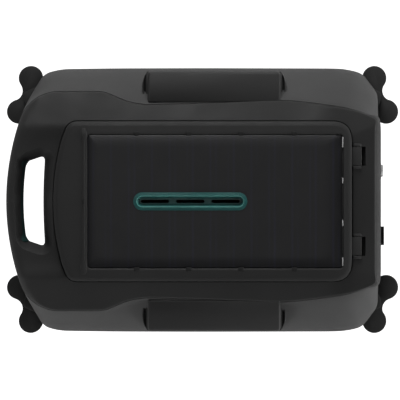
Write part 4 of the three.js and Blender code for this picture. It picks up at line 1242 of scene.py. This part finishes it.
KEPT = {
    "shell": ["lower_shell", "lid_latch", "motor_housing", "motor_housing_cap", "impeller_duct"],
    "rubber": ["lid_gasket", "inlet_flap_front", "inlet_flap_rear"],
    "basket": ["filter_basket"],
    "mesh": ["filter_screen"],
    "teal": ["basket_grip", "impeller"],
    "steel": ["pump_motor", "drive_motor_left", "drive_motor_right", "idler_axle_left",
              "idler_axle_right"],
    "pin": ["lid_hinge_pin_left", "lid_hinge_pin_right"],
    "board": ["control_board"],
    "cell": ["battery_pack"],
    "trim": ["charge_port"],
}


def kept_nodes():
    """Finishes for the CAD nodes that are shown as they are."""
    for finish, names in KEPT.items():
        for name in names:
            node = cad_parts[name]
            if not node.material_slots:
                node.data.materials.append(MATERIAL[finish])
            for holder in node.material_slots:
                holder.material = MATERIAL[finish]
            if name not in ("filter_screen", "lid_gasket"):
                edge_modifier(node, 0.5, 2, 35)


# ---------------- stage

FLOOR_REACH = 12
FLOOR_GLOW = 1
BOUNCE_TONE = 0.35
WORLD_LIGHT = 0.27
WORLD_FAR_SIDE = 0.08
WORLD_ZENITH = 0.12
HORIZON = 0.002
LIGHT_AIM = Vector((0, 0, 0.1))
LIGHTS = (  # name, place, size, power, lights surfaces, shows in gloss
    ("key", (-0.1, 1.7, 0.62), 0.9, 43, True, False),
    ("sheen", (-0.1, 0.95, 1.3), 0.5, 5.2, False, True),
    ("corner_front", (-1.2, -1.4, 0.32), 0.8, 32, True, False),
    ("corner_rear", (1.3, -1.4, 0.32), 0.8, 22, True, False),
    ("rear", (2, 0, 0.4), 0.8, 50, True, False),
    ("fill", (0, -1.8, 0.6), 1.2, 7, True, False),
    ("top", (-0.2, 0.3, 2.6), 1.6, 3.6, True, True),
)

VIEW_DISTANCE = 21.5
VIEW_WIDTH = 0.4588
VIEW_TARGET = Vector((-0.0025, 0.00036, 0.12))
VIEW_TILT = Euler((math.radians(-0.9), math.radians(0.43), 0))
VIEW_SENSOR = 12
VIEW_CLIP = 200


def sky():
    """White below the horizon; above it a grey dome, brighter to the right and lower down."""
    graph = Graph(bpy.data.worlds.new("studio"), "Background", "Generated")
    up = graph.add("SeparateXYZ", "Z", Vector=graph.place)
    dome = graph.add("ValToRGB", "Color", Fac=up)
    bottom, top = dome.node.color_ramp.elements
    bottom.position, bottom.color = 0, (1, 1, 1, 1)
    top.position, top.color = 0.85, (WORLD_ZENITH, WORLD_ZENITH, WORLD_ZENITH, 1)
    away = graph.spread(up.node.outputs["Y"], WORLD_LIGHT, WORLD_FAR_SIDE, -0.15, 0.45)
    below = graph.calculate("LESS_THAN", up, HORIZON)
    bpy.context.scene.world = graph.finish(
        Color=dome, Strength=graph.calculate("MAXIMUM", away, below))


def sheet(name, z, tone, glow):
    """A wide level sheet of paper, part of the studio."""
    mesh = bpy.data.meshes.new(name)
    r = FLOOR_REACH
    mesh.from_pydata([(-r, -r, z), (r, -r, z), (r, r, z), (-r, r, z)], [], [(0, 1, 2, 3)])
    mesh.materials.append(new_graph(name + "_paper").finish(
        Base_Color=(tone, tone, tone, 1), Roughness=0.9,
        Emission_Color=(1, 1, 1, 1), Emission_Strength=glow))
    piece = place(name, mesh)
    return piece


def studio():
    """World, lights, a glowing floor that only the camera sees, and a grey one that lights."""
    sky()
    for name, spot, size, power, lights, shines in LIGHTS:
        light = bpy.data.lights.new(name, "AREA")
        light.size = size
        light.energy = power
        lamp = place(name, light)
        lamp.location = spot
        lamp.rotation_euler = (LIGHT_AIM - Vector(spot)).to_track_quat("-Z", "Y").to_euler()
        lamp.visible_diffuse = lights
        lamp.visible_glossy = shines
    floor = sheet("floor", -0.5 * MM, 0.9, FLOOR_GLOW)
    floor.visible_diffuse = False
    floor.visible_glossy = False
    sheet("bounce", 0, BOUNCE_TONE, 0).visible_camera = False


def camera():
    """Straight down, a hair from the left side and the hinged end, with a long lens."""
    data = bpy.data.cameras.new("camera")
    data.sensor_width = VIEW_SENSOR
    data.lens = VIEW_SENSOR * VIEW_DISTANCE / VIEW_WIDTH
    data.clip_end = VIEW_CLIP
    view = place("camera", data)
    view.rotation_euler = VIEW_TILT
    view.location = VIEW_TARGET + VIEW_TILT.to_matrix() @ Vector((0, 0, VIEW_DISTANCE))
    bpy.context.scene.camera = view


# ---------------- build

camera()
bpy.context.scene.view_settings.view_transform = "Standard"
studio()
upper_shell()
hinge_cheeks()
handle_liner()
for name, sign in SIDES.items():
    side_cover(name, sign)
    side_pod(name, sign)
    pod_ends(name, sign)
    wheel(name, "drive", sign)
    wheel(name, "idler", sign)
lid_frame()
lid_crease()
lid_window()
window_edge()
outlet()
corners()
tracks()
for which in ENDS:
    brush(which)
charge_cap()
power_button()
underside()
kept_nodes()
